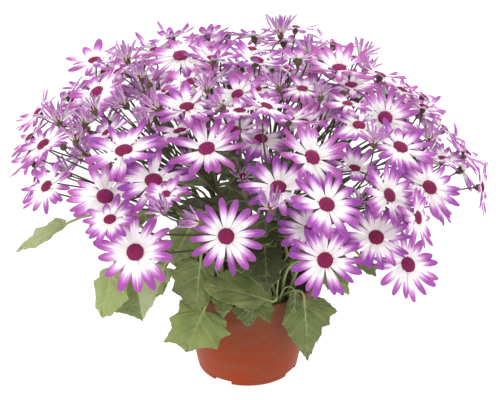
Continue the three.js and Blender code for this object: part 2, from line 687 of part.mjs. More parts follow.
// A leaf as one skin.  The blade has one thickness, is folded along its midrib and waved
// at its edge, and is split into the same triangles above and below.  Its stalk runs
// from the root in the soil into the blade's joint.
function leafSolid(leaf, grow = 0) {
  const { joint, width, fold, outline } = leaf;
  const { along, normal, across, length } = leafFrame(leaf);
  const place = (u, v, ripple) => {
    const height = LEAF.arch * length * u * (1 - u) - (Math.abs(v) * fold * width) / 2 + ripple;
    return joint.clone().addScaledVector(along, u * length)
      .addScaledVector(across, (v * width) / 2 + Math.sign(v) * grow).addScaledVector(normal, height);
  };
  const wave = LEAF.wave * width;
  const edge = (sign) => outline.map(([u, v], k) => place(u, sign * v, k % 2 ? wave : -wave));
  const lines = [RIB_SHARES.map((u) => place(u, 0, 0)), edge(1), edge(-1)];
  const skin = new Skin();
  const half = LEAF.thickness / 2 + grow;
  const layer = (offset) => lines.map((line) =>
    line.map((p) => skin.add(p.clone().addScaledVector(normal, offset))));
  const [upper, lower] = [layer(half), layer(-half)];
  fillBlade(skin, upper, outline, false);
  fillBlade(skin, lower, outline, true);
  bladeEdge(skin, upper, lower);
  const path = leafStalkPath(leaf, along);
  const radiusAt = (share) => THREE.MathUtils.lerp(LEAF.stalk, LEAF.stalk * 0.7, share) + grow;
  const rings = stemRings(skin, path, radiusAt, 3, across);
  wall(skin, rings);
  cap(skin, rings[0], true);
  const [[ribUp, leftUp, rightUp], [ribLow, leftLow, rightLow]] = [upper, lower];
  sleeve(skin, rings.at(-1), [leftUp[0], ribUp[0], rightUp[0], rightLow[0], ribLow[0], leftLow[0]]);
  return skin.solid();
}

// Fills between the midrib and both edges, always by the same rule.
function fillBlade(skin, [rib, left, right], outline, under) {
  for (const [line, leftSide] of [[left, true], [right, false]]) {
    const put = (a, b, c) => (leftSide === under ? skin.face(a, b, c) : skin.face(a, c, b));
    let at = 0;
    line.forEach((id, k) => {
      while (at + 2 < rib.length && RIB_SHARES[at + 1] < outline[k][0] + 0.12) {
        put(rib[at], id, rib[at + 1]);
        at += 1;
      }
      if (k + 1 < line.length) put(rib[at], id, line[k + 1]);
    });
    for (; at + 1 < rib.length; at += 1) put(rib[at], line.at(-1), rib[at + 1]);
  }
}

// The blade's edge from one side of the joint round the tip to the other side.
function bladeEdge(skin, [rib, left, right], [ribLow, leftLow, rightLow]) {
  const round = [...left, rib.at(-1), ...right.toReversed()];
  const roundLow = [...leftLow, ribLow.at(-1), ...rightLow.toReversed()];
  for (let k = 0; k + 1 < round.length; k += 1) {
    skin.face(round[k], round[k + 1], roundLow[k + 1]);
    skin.face(round[k], roundLow[k + 1], roundLow[k]);
  }
}

// Up out of the soil, over the pot's rim and into the joint.
function leafStalkPath({ joint, bearing }, along) {
  const [bottom, top] = rootPoints(LEAF.rootRing, bearing);
  const end = joint.clone().addScaledVector(along, -2.5);
  const bend = end.clone().addScaledVector(along, -0.4 * top.distanceTo(end));
  bend.z = Math.max(bend.z, POT.height + 14);
  return [bottom, ...curvePoints(top, bend, end, 2)];
}

function placedLeaves() {
  return PLACED_LEAVES.map((leaf) => ({
    joint: new THREE.Vector3(...leaf.joint),
    tip: new THREE.Vector3(...leaf.tip),
    face: new THREE.Vector3(...leaf.face),
    width: leaf.width,
    bearing: radians(leaf.root),
    fold: leaf.fold,
    outline: leaf.outline ?? PALMATE,
  }));
}

function ringLeaves() {
  const draw = randomDraws(11);
  const leaves = [];
  for (const { bearings, radius, height, drop, reach, width } of LEAF_RINGS) {
    for (const bearing of bearings.map(radians)) {
      const level = height + (draw() - 0.5) * 10;
      leaves.push({
        joint: point(radius, bearing, level),
        tip: point(radius + reach, bearing + (draw() - 0.5) * 0.2, level - drop),
        face: point(0.6, bearing, 0.7),
        width: width + (draw() - 0.5) * 10,
        bearing,
        fold: 0.12,
        outline: PALMATE,
      });
    }
  }
  return leaves;
}

// ---- fitting the pieces round each other -----------------------------------------

const headSolid = (bloom, path, grow = 0) =>
  (bloom.kind === 'bud' ? budSolid(bloom, path, grow) : bloomSolid(bloom, path, grow));

// The stem and the stalks of a spray, with no heads.
function woodSolid(spray, grow) {
  const radius = STALK.radius + grow;
  const stalk = ({ path, centre }) => stem([...path, centre], radius, radius, STALK.sides);
  const main = stem(spray.path, STEM.radius + grow, STEM.tip + grow, STEM.sides);
  return joined([main, ...spray.blooms.map(stalk)]);
}

// The piece of a stalk right under its head.
const neck = ({ path, centre, face }) => [centre.clone().addScaledVector(face, -CALYX - 1), path.at(-1)];

const grownHead = (bloom) => headSolid(bloom, neck(bloom), CLEAR);

// Builds each spray clear of the others: petals give way to the other sprays' stalks and
// to the petals of the sprays before.
function spraySolids(sprays) {
  const wood = sprays.map((spray) => woodSolid(spray, CLEAR));
  const heads = [];
  return sprays.map((spray, own) => {
    const stalks = joined(wood.filter((_, k) => k !== own));
    const parts = [stem(spray.path, STEM.radius, STEM.tip, STEM.sides)];
    for (const bloom of spray.blooms) {
      const near = heads.filter((head) => head.bloom.centre.distanceTo(bloom.centre)
        < head.bloom.radius + bloom.radius + CALYX);
      const rivals = joined([stalks, ...near.map((head) => head.solid)]);
      const whole = headSolid(bloom, bloom.path);
      if (whole.intersect(rivals).isEmpty()) {
        parts.push(whole);
      } else {
        parts.push(largestBody(headSolid(bloom, neck(bloom)).subtract(rivals)));
        parts.push(stem([...bloom.path, bloom.centre], STALK.radius, STALK.radius * 0.8, STALK.sides));
      }
    }
    heads.push(...spray.blooms.map((bloom) => ({ bloom, solid: grownHead(bloom) })));
    return joined(parts);
  });
}

// Builds each leaf clear of the sprays and of the leaves before it.
function leafSolids(leaves, sprays) {
  const rivals = sprays.flatMap((spray) => [woodSolid(spray, CLEAR), ...spray.blooms.map(grownHead)]);
  return leaves.map((leaf) => {
    const whole = leafSolid(leaf);
    const near = rivals.filter((rival) => !whole.intersect(rival).isEmpty());
    rivals.push(leafSolid(leaf, CLEAR));
    return near.length === 0 ? whole : largestBody(whole.subtract(joined(near)));
  });
}

// ---- the plant in its pot --------------------------------------------------------

const blooms = settle([
  ...placedBlooms(OPEN_BLOOMS, 'open'),
  ...placedBlooms(HALF_OPEN_BLOOMS, 'half'),
  ...backBlooms(),
  ...placedBlooms(BUDS, 'bud'),
]);
const sprays = gatherSprays(blooms);
routeStalks(sprays);
const leaves = [...placedLeaves(), ...ringLeaves()];
const holes = [
  ...sprays.map(({ radius, bearing }) => rootHole(radius, bearing, STEM.radius, STEM.sides)),
  ...leaves.map((leaf) => rootHole(LEAF.rootRing, leaf.bearing, LEAF.stalk, 3, leafFrame(leaf).across)),
];

const numbered = (name, k) => `${name}_${String(k + 1).padStart(2, '0')}`;
const plant = new THREE.Group();
plant.add(meshOf('pot', makePot(), COLOURS.pot, 0.45));
plant.add(meshOf('soil', makeSoil(holes), COLOURS.soil, 0.95));
for (const [k, solid] of spraySolids(sprays).entries()) {
  plant.add(meshOf(numbered('spray', k), solid, COLOURS.bloom, 0.6));
}
for (const [k, solid] of leafSolids(leaves, sprays).entries()) {
  plant.add(meshOf(numbered('leaf', k), solid, COLOURS.leaf, 0.7));
}

export default plant;
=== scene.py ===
"""Florist cineraria in a plastic nursery pot: the finished look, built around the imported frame.

Lengths in the layout tables are in millimetres, and every mesh is made in metres.
"""

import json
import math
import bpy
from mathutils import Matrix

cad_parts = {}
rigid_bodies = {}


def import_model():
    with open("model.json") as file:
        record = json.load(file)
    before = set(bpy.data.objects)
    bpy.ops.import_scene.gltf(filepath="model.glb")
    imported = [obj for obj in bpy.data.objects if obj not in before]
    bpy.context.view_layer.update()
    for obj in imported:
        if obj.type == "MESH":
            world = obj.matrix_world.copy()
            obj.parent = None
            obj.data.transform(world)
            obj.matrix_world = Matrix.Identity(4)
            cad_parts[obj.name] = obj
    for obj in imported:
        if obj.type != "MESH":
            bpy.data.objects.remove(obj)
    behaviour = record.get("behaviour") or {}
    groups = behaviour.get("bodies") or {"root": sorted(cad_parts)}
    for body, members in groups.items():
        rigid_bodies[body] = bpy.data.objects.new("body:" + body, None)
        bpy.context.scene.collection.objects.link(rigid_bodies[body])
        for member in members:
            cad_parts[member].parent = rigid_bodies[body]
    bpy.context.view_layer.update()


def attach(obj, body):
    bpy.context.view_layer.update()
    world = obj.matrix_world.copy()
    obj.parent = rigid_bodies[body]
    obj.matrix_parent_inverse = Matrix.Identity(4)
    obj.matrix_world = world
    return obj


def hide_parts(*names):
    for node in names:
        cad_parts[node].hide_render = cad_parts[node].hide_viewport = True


bl_info = {
    "name": "Potted cineraria",
    "version": (1, 0, 0),
    "blender": (4, 5, 0),
    "location": "3D Viewport > Sidebar > Cineraria",
    "description": "Builds a florist cineraria with its pot, leaves and flower sprays",
    "category": "Object",
}

from dataclasses import dataclass, field
from functools import cache

import bmesh
import bpy
import numpy as np
from bpy.props import FloatProperty, FloatVectorProperty, IntProperty, PointerProperty
from bpy.types import Operator, Panel, PropertyGroup
from mathutils import Matrix, Vector, noise

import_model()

MM = 0.001
TAU = 2 * math.pi
BODY = "root"

# ---- shape of the plant: the same sizes as the frame's solids ----------------------

POT = {"height": 93, "rim_radius": 65, "base_radius": 45.5, "wall": 2}
LIP = {"height": 4, "proud": 0.8, "chamfer": 0.6}
FOOT = {"height": 4, "inner_radius": 40.5, "pad_radius": 24, "gap_width": 18}
FOOT_GAPS = (-30, 60, 150, 240)
DRAIN = {"count": 4, "radius": 4, "ring": 33}
SOIL_TOP = POT["height"] - 12
ROOT_DEPTH = 12
# How much higher the soil is in the middle, and how many shapes its crumbs have.
SOIL_RISE, CRUMB_SHAPES = 1.5, 3

DOME = {"spread": 198, "rise": 130, "centre": 169}
VIEW = {"elevation": 26, "distance": 1300, "aim": (2, 0, 164.5), "lens_mm": 106.344}

SPRAYS = {"count": 14, "widest": 72, "heart": 140, "hole_inner": 5, "hole_outer": 31}
STEM = {"radius": 2.4, "reach": 0.55, "climb": 0.76, "lean": 0.14, "hurry": 0.72}
STALK_RADIUS = 1.1
# Stalks try these bends, and leave the stem this much above or below their own part of it.
STALK_BENDS = (0.45, 0.3, 0.6, 0.15, 0.75)
STALK_SLIDES = (0, 0.1, -0.1, 0.2, -0.2, 0.3, -0.3, 0.4, -0.4, 0.55, -0.55, 0.7, -0.7)
# A stalk that comes up nearer to the middle of a bloom than the share "near" of its radius is
# pushed aside to the share "clear", where it can be bent at least by "least_pull".
STEER = {"rounds": 5, "near": 0.85, "clear": 0.95, "least_pull": 0.3}
ROUTE_BENDS = (0.5, 0.35, 0.2, 0.1)
# The share of a head's radius inside which its petals lie level, and the depth of its calyx.
HEAD_NOTCH = 0.27
CALYX = 6
# How steeply petals rise beyond that, and how far they reach, for their length.
POSE = {"open": (0.03, 1), "half": (0.95, 0.78), "bud": (0, 1)}
# Half the least gap between stems and stalks of different sprays.
CLEAR = 0.35
# How far a bloom may move along the sight line and along its face to clear the others.
NUDGES = {"along": (0, 12, -12, 24, -24, 36, -36, 48, -48), "up": (0, 5, -5, 10, -10)}
# How far in front of its centre, in mm, a disc is kept free of the petals of other blooms.
DISC_STEPS = (0, 10, 20)

# Each row is one bloom on the plane that faces the front: mm to the right of the middle,
# mm up, the bloom's diameter, and the degrees its face turns right and up.
OPEN_BLOOMS = (
    (-101, -46, 63, -5, 12), (-21, -32, 59, 0, 10), (66, -53, 58, 0, 6), (139, -57, 59, 26, 20),
    (-85, 17, 65, 0, 40), (-129, 3, 64, 6, 34), (-110, 43, 66, -8, 50), (-38, 45, 62, -10, 38),
    (25, 11, 59, 5, 36), (54, 37, 59, 22, 28), (66, -4, 58, 12, 30), (111, -33, 57, 5, 25),
    (55, -26, 52, 0, 30), (93, 28, 45, 8, 56), (-122, -17, 46, -10, 45), (-73, 5, 35, -5, 45),
    (119, 72, 57, 6, 20), (131, 46, 58, 18, 45), (158, 11, 59, 22, 30), (120, 4, 53, 35, 22),
    (143, -15, 50, 55, 15), (204, 11, 48, 75, 5), (187, 41, 43, 35, 75), (171, 37, 38, 5, 66),
    (153, 82, 41, 15, 64), (134, 97, 44, 25, 74), (146, 90, 39, 30, 80), (125, 91, 42, 38, 52),
    (171, 63, 41, 38, 74), (114, 109, 45, 20, 76),
    (-179, 12, 50, -32, 40), (-182, 49, 56, -30, 50), (-135, 95, 58, -28, 42), (-137, 123, 54, -12, 60),
    (-129, 116, 48, -40, 55), (-194, 55, 49, -45, 72), (-161, 91, 51, -48, 68), (-187, 77, 48, -42, 64),
    (-150, 104, 43, -20, 82), (-116, 113, 41, -25, 58), (-127, 60, 43, -30, 60),
    (-55, 81, 56, -5, 54), (-61, 127, 63, -5, 48), (78, 115, 61, 2, 60), (10, 55, 51, 5, 48),
    (-13, 62, 48, 3, 54), (95, 65, 49, 5, 50), (90, 102, 51, 2, 62), (6, 123, 55, 12, 60),
    (-11, 93, 48, -20, 42), (5, 99, 47, 8, 52), (-52, 104, 47, -12, 50), (48, 69, 44, 0, 54),
    (46, 98, 44, 3, 62), (-32, 122, 48, 5, 62), (-83, 132, 52, -5, 66), (1, 134, 46, 0, 70),
    (-63, 62, 52, -10, 70), (-9, 77, 47, 0, 72), (14, 80, 46, 18, 62), (34, 72, 47, 5, 68),
    (-69, 143, 47, -12, 80), (-20, 146, 49, 0, 88), (-37, 138, 44, -5, 82), (4, 144, 43, 0, 96),
    (40, 152, 41, 5, 84), (74, 137, 47, 18, 80), (92, 125, 40, 15, 80), (64, 125, 37, 8, 78),
    (42, 122, 42, 0, 92), (85, 84, 40, 5, 66),
)
HALF_OPEN_BLOOMS = (
    (18, -6, 35, -6, 60), (112, -26, 42, 2, 62), (134, -14, 37, 58, 40), (96, 0, 26, 5, 50),
    (113, 16, 26, 5, 45), (107, 50, 35, 10, 58), (-75, -9, 32, -20, 40), (-46, -19, 32, -58, 28),
    (-167, 70, 46, -10, 62), (-153, 55, 36, 2, 62), (-106, 122, 41, -4, 64), (-96, 109, 34, -10, 56),
    (-112, 84, 36, -44, 50), (-92, 70, 35, -12, 58), (-82, 80, 39, -38, 46), (-135, 79, 30, -16, 60),
    (-37, 97, 34, 0, 60), (-26, 81, 33, -48, 42), (26, 143, 43, -4, 66), (52, 130, 39, 4, 70),
    (24, 99, 32, -20, 56), (62, 92, 27, 4, 60), (158, 54, 38, 10, 60), (-143, 69, 30, 20, 60),
)
BUDS = (
    (-89, 103, 8, -10, 60), (-191, 32, 8, -40, 30), (-165, 48, 8, -20, 50),
    (82, 95, 8, 10, 60), (107, 21, 8, 20, 50), (-4, 7, 8, 0, 40),
)
# Rings of blooms round the far side: rise in degrees, how many, and their bearings.
BACK_RINGS = ((0, 7, 104, 256), (17, 7, 95, 265), (34, 6, 108, 252), (51, 4, 130, 230))
BACK = {"diameter": 52, "diameter_band": 12, "lean": 25, "lean_growth": 0.6, "turn": 16, "jitter": 6}

# Blooms under the outer ones, which only the finished look has.
FILLERS = {"tries": 260, "seed": 19, "depths": (0.78, 0.95), "radii": (17, 22), "spacing": 0.56,
           "lowest_front": 48, "lowest_back": 84, "front_bearing": 70, "crown": 42, "crown_growth": 1.25,
           "crown_tilt": 0.7, "upward": 0.4, "apart": 1.05}

# Leaf outlines from the stalk's joint to the tip, one list a side: share of the leaf's
# length, share of half its width.  Every second point is the tip of a lobe.
PALMATE = ((-0.16, 0.36), (-0.02, 0.86), (0.14, 0.7), (0.3, 1), (0.5, 0.6), (0.66, 0.64))
LANCE = ((0, 0.4), (0.16, 1), (0.38, 0.96), (0.46, 0.72), (0.54, 0.84), (0.8, 0.5))
OUTLINES = {
    1: (((-0.08, 0.42), (0.02, 0.74), (0.16, 0.78), (0.24, 1), (0.42, 0.76), (0.66, 0.8), (0.78, 0.36),
         (0.94, 0.12)),
        ((-0.08, 0.4), (-0.02, 0.78), (0.24, 0.68), (0.44, 0.84), (0.62, 0.68), (1.0, 0.74), (0.92, 0.4),
         (0.94, 0.2))),
    2: (((-0.12, 0.3), (-0.04, 0.62), (0.3, 0.52), (0.5, 0.6), (0.72, 0.44), (0.86, 0.42)),
        ((-0.1, 0.4), (0.02, 0.95), (0.12, 0.98), (0.24, 1.16), (0.4, 1.0), (0.62, 1.06), (0.74, 0.66),
         (0.88, 0.42))),
    3: (((-0.06, 0.16), (0.14, 0.2), (0.24, 0.44), (0.35, 0.64), (0.46, 0.5), (0.66, 0.5), (0.8, 0.38),
         (0.91, 0.3)),
        ((-0.05, 0.3), (0.06, 0.85), (0.16, 1.05), (0.34, 1.22), (0.54, 0.92), (0.7, 0.7), (0.8, 0.45),
         (0.93, 0.34))),
    5: (((-0.05, 0.4), (0.08, 0.85), (0.2, 0.86), (0.34, 1.02), (0.5, 0.92), (0.8, 0.96), (0.68, 0.5),
         (0.66, 0.28)),
        ((-0.05, 0.4), (0.1, 0.9), (0.3, 0.86), (0.66, 1.06), (0.72, 0.8), (0.86, 0.74), (0.88, 0.46),
         (0.98, 0.34))),
    6: (((-0.08, 0.36), (0.0, 0.76), (0.1, 0.96), (0.21, 1.16), (0.3, 0.9), (0.43, 0.84), (0.46, 0.6),
         (0.58, 0.52), (0.72, 0.3), (0.84, 0.17)),
        ((-0.1, 0.3), (-0.04, 0.56), (0.1, 0.62), (0.34, 0.86), (0.46, 0.66), (0.56, 0.62), (0.64, 0.48),
         (0.82, 0.26))),
    8: (((-0.1, 0.45), (0.06, 0.9), (0.14, 1.0), (0.24, 1.12), (0.46, 0.92), (0.74, 0.5)),
        ((-0.1, 0.3), (0.06, 0.64), (0.24, 0.7), (0.42, 0.98), (0.56, 0.96), (0.72, 1.16))),
    9: (((-0.1, 0.4), (0.08, 0.86), (0.24, 0.92), (0.44, 1.18), (0.66, 0.8), (0.88, 0.5)),
        ((-0.1, 0.3), (0.02, 0.62), (0.14, 0.6), (0.28, 0.8), (0.5, 0.6), (0.8, 0.46))),
    10: (((0.02, 0.15), (0.16, 0.4), (0.28, 0.38), (0.4, 0.7), (0.5, 0.62), (0.64, 0.78)),
         ((-0.04, 0.5), (0.1, 1.3), (0.33, 0.95), (0.5, 1.25), (0.6, 0.62), (0.8, 0.45))),
}
# Joint and tip in mm, width, the way the top face looks, bearing of the root in
# degrees, and how far the two halves fold down from the midrib.
PLACED_LEAVES = (
    ((-38, -66, 90), (-53, -84, 60), 60, (-0.1, -0.75, 0.6), -34, 0.1),
    ((-40, -68, 138), (-43, -88, 103), 46, (-0.3, -0.8, 0.5), -22, 0.12),
    ((20, -66, 100), (-37, -88, 128), 50, (0.1, -0.6, 0.8), 12, 0.14),
    ((-20, -60, 107), (-21, -77, 90), 26, (-0.2, -0.7, 0.6), -12, 0.1),
    ((8, -60, 103), (2, -78, 82), 34, (0, -0.8, 0.6), 0, -0.1),
    ((49, -60, 96), (52, -79, 48), 50, (0.2, -0.9, 0.4), 32, 0.12),
    ((58, -74, 138), (84, -86, 128), 34, (0.3, -0.5, 0.8), 45, 0.1),
    ((-95, -90, 146), (-88, -98, 99), 44, (0.2, -0.9, 0.3), -46, 0.35),
    ((-112, -104, 148), (-120, -118, 114), 34, (-0.3, -0.8, 0.5), -62, 0.1),
    ((-153, -62, 172), (-195, -74, 152), 17, (-0.3, -0.6, 0.8), -76, 0.2),
    ((92, -106, 165), (105, -114, 151), 20, (0.3, -0.6, 0.7), 56, 0.1),
    ((-47, -88, 182), (-62, -102, 156), 34, (-0.3, -0.7, 0.6), -28, 0.1),
)
# Bearings, then radius, height, drop, reach and width.
LEAF_RINGS = (
    ((78, 122, 160, 200, 240, 282), 76, 104, 36, 18, 54),
    ((98, 148, 174, 227, 259), 90, 142, 24, 34, 44),
    ((-48, -22, 10, 37), 40, 146, -14, 30, 30),
    ((84, 200, 270), 54, 178, -8, 34, 38),
)
# Leaves of the rings whose tips hang less low than the others', in mm.
RAISED_TIPS = {13: 18}
LEAF = {"thickness": 0.5, "stalk": 1.5, "root_ring": 43, "arch": 0.22, "wave": 0.03}
# Smaller leaves on the flower stems, inside the dome: shares of the stem's length, then
# least and greatest length, and how far out on the dome they may reach.
STEM_LEAVES = {"places": (0.35, 0.52, 0.7, 0.92), "lengths": (32, 54), "width_share": 0.72, "reach": 0.6}
# Name, place and diameter in metres, and the setting with its power and the share of that.
LIGHTS = (
    ("Key light", (-2.0, -0.8, 1.15), 1.8, "key_power", 1),
    ("Back light", (0.8, 1.6, 2.0), 1.8, "back_power", 1),
    ("Fill light", (0.9, -2.0, 1.3), 1.6, "key_power", 0.7),
)


# ---- small tools -------------------------------------------------------------------

def vec(*values):
    return np.array(values, dtype=float)


def unit(v):
    return v / np.linalg.norm(v)


def lerp(a, b, share):
    return a + (b - a) * share


def point(radius, bearing, height):
    return vec(radius * math.sin(bearing), -radius * math.cos(bearing), height)


def side_of(direction):
    guide = vec(0, 1, 0) if abs(direction[2]) > 0.9 else vec(0, 0, 1)
    return unit(np.cross(guide, direction))


def quadratic(a, b, c, steps):
    shares = np.linspace(0, 1, steps + 1)[:, None]
    return (1 - shares) ** 2 * a + 2 * shares * (1 - shares) * b + shares ** 2 * c


def golden_turn(number):
    """Turns that fill a round evenly, as seeds do: each is a golden angle on from the last."""
    return number * math.pi * (3 - math.sqrt(5))


def random_draws(seed):
    """The frame's own seeded draws, so that both lay the plant out alike."""
    state = seed
    while True:
        state = (state * 1664525 + 1013904223) % 4294967296
        yield state / 4294967296


def jitter(draw, width):
    """A draw from a band of this width about nought."""
    return (next(draw) - 0.5) * width


def between(draw, low, high):
    return lerp(low, high, next(draw))


# ---- where the blooms are ----------------------------------------------------------

@dataclass
class Bloom:
    """A flower head.  A plain one is hardly seen, so its disc is simpler and its petals are fewer."""
    kind: str
    radius: float
    centre: np.ndarray
    face: np.ndarray
    plain: bool = False
    curve: np.ndarray = None


@dataclass
class Spray:
    """A main stem and the blooms on its stalks.  Its path is coarse, as in the frame."""
    bearing: float
    axis: np.ndarray
    blooms: list = field(default_factory=list)
    path: np.ndarray = None
    curve: np.ndarray = None


ELEVATION = math.radians(VIEW["elevation"])
TOWARDS = vec(0, -math.cos(ELEVATION), math.sin(ELEVATION))
RIGHT = vec(1, 0, 0)
ABOVE = vec(0, math.sin(ELEVATION), math.cos(ELEVATION))
AIM = vec(*VIEW["aim"])
EYE = AIM + VIEW["distance"] * TOWARDS
HEART = vec(0, 0, SPRAYS["heart"])


def on_dome(across, rise):
    """Where the sight line through a point of the facing plane meets the dome."""
    line = unit(AIM + across * RIGHT + rise * ABOVE - EYE)
    scale = vec(1 / DOME["spread"], 1 / DOME["spread"], 1 / DOME["rise"])
    start = (EYE - vec(0, 0, DOME["centre"])) * scale
    step = line * scale
    a, b, c = step @ step, 2 * start @ step, start @ start - 1
    return EYE + line * (-b - math.sqrt(max(b * b - 4 * a * c, 0))) / (2 * a)


def facing(turn, lift):
    turn, lift = math.radians(turn), math.radians(lift)
    level = math.cos(lift) * TOWARDS + math.sin(lift) * ABOVE
    return unit(math.cos(turn) * level + math.sin(turn) * RIGHT)


def placed_blooms(rows, kind):
    return [Bloom(kind, diameter / 2, on_dome(across, rise), facing(turn, lift))
            for across, rise, diameter, turn, lift in rows]


def back_blooms():
    draw = random_draws(7)
    blooms = []
    for row, (rise, count, first, last) in enumerate(BACK_RINGS):
        for k in range(count):
            bearing = math.radians(lerp(first, last, k / (count - 1)) + jitter(draw, BACK["jitter"]))
            height = math.radians(rise + jitter(draw, BACK["jitter"]))
            level = DOME["centre"] + DOME["rise"] * math.sin(height)
            centre = point(DOME["spread"] * math.cos(height), bearing, level)
            lean = math.radians(BACK["lean"] + rise * BACK["lean_growth"] + jitter(draw, BACK["turn"]))
            turned = bearing + math.radians(jitter(draw, BACK["turn"]))
            face = point(math.cos(lean), turned, math.sin(lean))
            diameter = BACK["diameter"] + jitter(draw, BACK["diameter_band"])
            kind, part = ("half", 3) if (k + row) % 5 == 3 else ("open", 2)
            blooms.append(Bloom(kind, diameter / part, centre, face, True))
    return blooms


def petal_height(bloom, distance):
    return np.maximum(distance - HEAD_NOTCH * bloom.radius, 0) * POSE[bloom.kind][0]


LINE_TURNS = TAU * np.arange(12) / 12
LINE_STEPS = vec(0, 0.35, 0.7, 1)


def cuts(one, other):
    """Whether a petal line of one bloom goes through the petals of the other."""
    across = side_of(one.face)
    over = np.cross(one.face, across)
    lines = np.cos(LINE_TURNS)[:, None] * across + np.sin(LINE_TURNS)[:, None] * over
    distance = one.radius * LINE_STEPS
    spots = (one.centre - other.centre + lines[:, None, :] * (distance * POSE[one.kind][1])[None, :, None]
             + petal_height(one, distance)[None, :, None] * one.face)
    height = spots @ other.face
    level = np.sqrt(np.maximum((spots ** 2).sum(axis=2) - height ** 2, 0)) / POSE[other.kind][1]
    above = height - petal_height(other, level)
    inside = level < other.radius + 1
    if np.any(inside & (np.abs(above) < 2)):
        return True
    before = np.where(inside, above, 0)[:, :-1]
    return bool(np.any(inside[:, 1:] & (before * above[:, 1:] < 0)))


def tangled(one, other):
    return cuts(one, other) or cuts(other, one)


def nudges():
    """Small moves along the sight line, which hardly show, and along the bloom's face, the
    smallest first."""
    moves = [(along, up) for along in NUDGES["along"] for up in NUDGES["up"]]
    return sorted(moves, key=lambda move: abs(move[0]) * 0.2 + abs(move[1])
                  + (0.1 if move[0] < 0 else 0) + (0.2 if move[1] < 0 else 0))


def settle(blooms):
    """Moves each bloom as little as keeps its petals out of those that are settled already."""
    settled = []
    moves = nudges()
    for bloom in blooms:
        home = best = bloom.centre
        fewest = math.inf
        for along, up in moves:
            bloom.centre = home + along * TOWARDS + up * bloom.face
            clashes = sum(
                np.linalg.norm(bloom.centre - other.centre) < bloom.radius + other.radius + 2
                and tangled(bloom, other) for other in settled)
            if clashes < fewest:
                fewest, best = clashes, bloom.centre
            if fewest == 0:
                break
        bloom.centre = best
        settled.append(bloom)
    return settled


def root_points(radius, bearing):
    return point(radius, bearing, SOIL_TOP - ROOT_DEPTH + 0.3), point(radius, bearing, SOIL_TOP + 3)


def nearest_spray(sprays, bloom):
    """The spray that leaves the plant's heart most nearly towards the bloom."""
    way = unit(bloom.centre - HEART)
    return max(sprays, key=lambda spray: spray.axis @ way)


def gather_sprays(blooms):
    """Spreads the sprays' directions over the dome and gives each bloom to the nearest."""
    count = SPRAYS["count"]
    lowest = 1 - math.cos(math.radians(SPRAYS["widest"]))
    sprays = []
    for k in range(count):
        fall = math.acos(1 - (k + 0.5) / count * lowest)
        bearing = golden_turn(k)
        sprays.append(Spray(bearing, point(math.sin(fall), bearing, math.cos(fall))))
    for bloom in blooms:
        nearest_spray(sprays, bloom).blooms.append(bloom)
    for k, spray in enumerate(sprays):
        radius = lerp(SPRAYS["hole_inner"], SPRAYS["hole_outer"], math.sqrt(k / (count - 1)))
        bottom, top = root_points(radius, spray.bearing)
        middle = sum(b.centre for b in spray.blooms) / len(spray.blooms)
        outward = math.hypot(middle[0], middle[1])
        end = point(lerp(radius, outward, STEM["reach"]), spray.bearing,
                    lerp(top[2], middle[2], STEM["climb"]))
        bend = point(lerp(radius, outward, STEM["lean"]), spray.bearing,
                     lerp(top[2], end[2], STEM["hurry"]))
        spray.path, spray.curve = (np.vstack([bottom, quadratic(top, bend, end, steps)])
                                   for steps in (3, 12))
    return sprays


def gaps_to(line, starts, ends):
    """Least distances between one straight stretch and many others."""
    a, b = line
    u, v, w = b - a, ends - starts, a - starts
    uu, vv = u @ u, (v * v).sum(axis=1)
    uv, uw, vw = v @ u, w @ u, (v * w).sum(axis=1)
    flat = uu * vv - uv * uv
    s = np.where(flat > 1e-9, np.clip((uv * vw - vv * uw) / np.where(flat > 1e-9, flat, 1), 0, 1), 0)
    t = np.clip((uv * s + vw) / vv, 0, 1)
    s = np.clip((uv * t - uw) / uu, 0, 1)
    return np.linalg.norm(w + s[:, None] * u - t[:, None] * v, axis=1)


def along_crotch(path, share):
    """A point by length along the stem's last two stretches, from part of the way up."""
    low, crotch, end = path[-3:]
    start = lerp(low, crotch, 0.3)
    first, second = np.linalg.norm(crotch - start), np.linalg.norm(end - crotch)
    travel = share * (first + second)
    if travel <= first:
        return lerp(start, crotch, travel / first)
    return lerp(crotch, end, (travel - first) / second)


def stalk_curve(bloom, fork, bend_share, steps):
    foot = bloom.centre - CALYX * bloom.face
    bend = foot - bend_share * np.linalg.norm(foot - fork) * bloom.face
    return quadratic(fork, bend, foot, steps)


def all_blooms(sprays):
    """The blooms of all sprays, with their centres and the ways they face as arrays."""
    blooms = [bloom for spray in sprays for bloom in spray.blooms]
    return blooms, np.array([b.centre for b in blooms]), np.array([b.face for b in blooms])


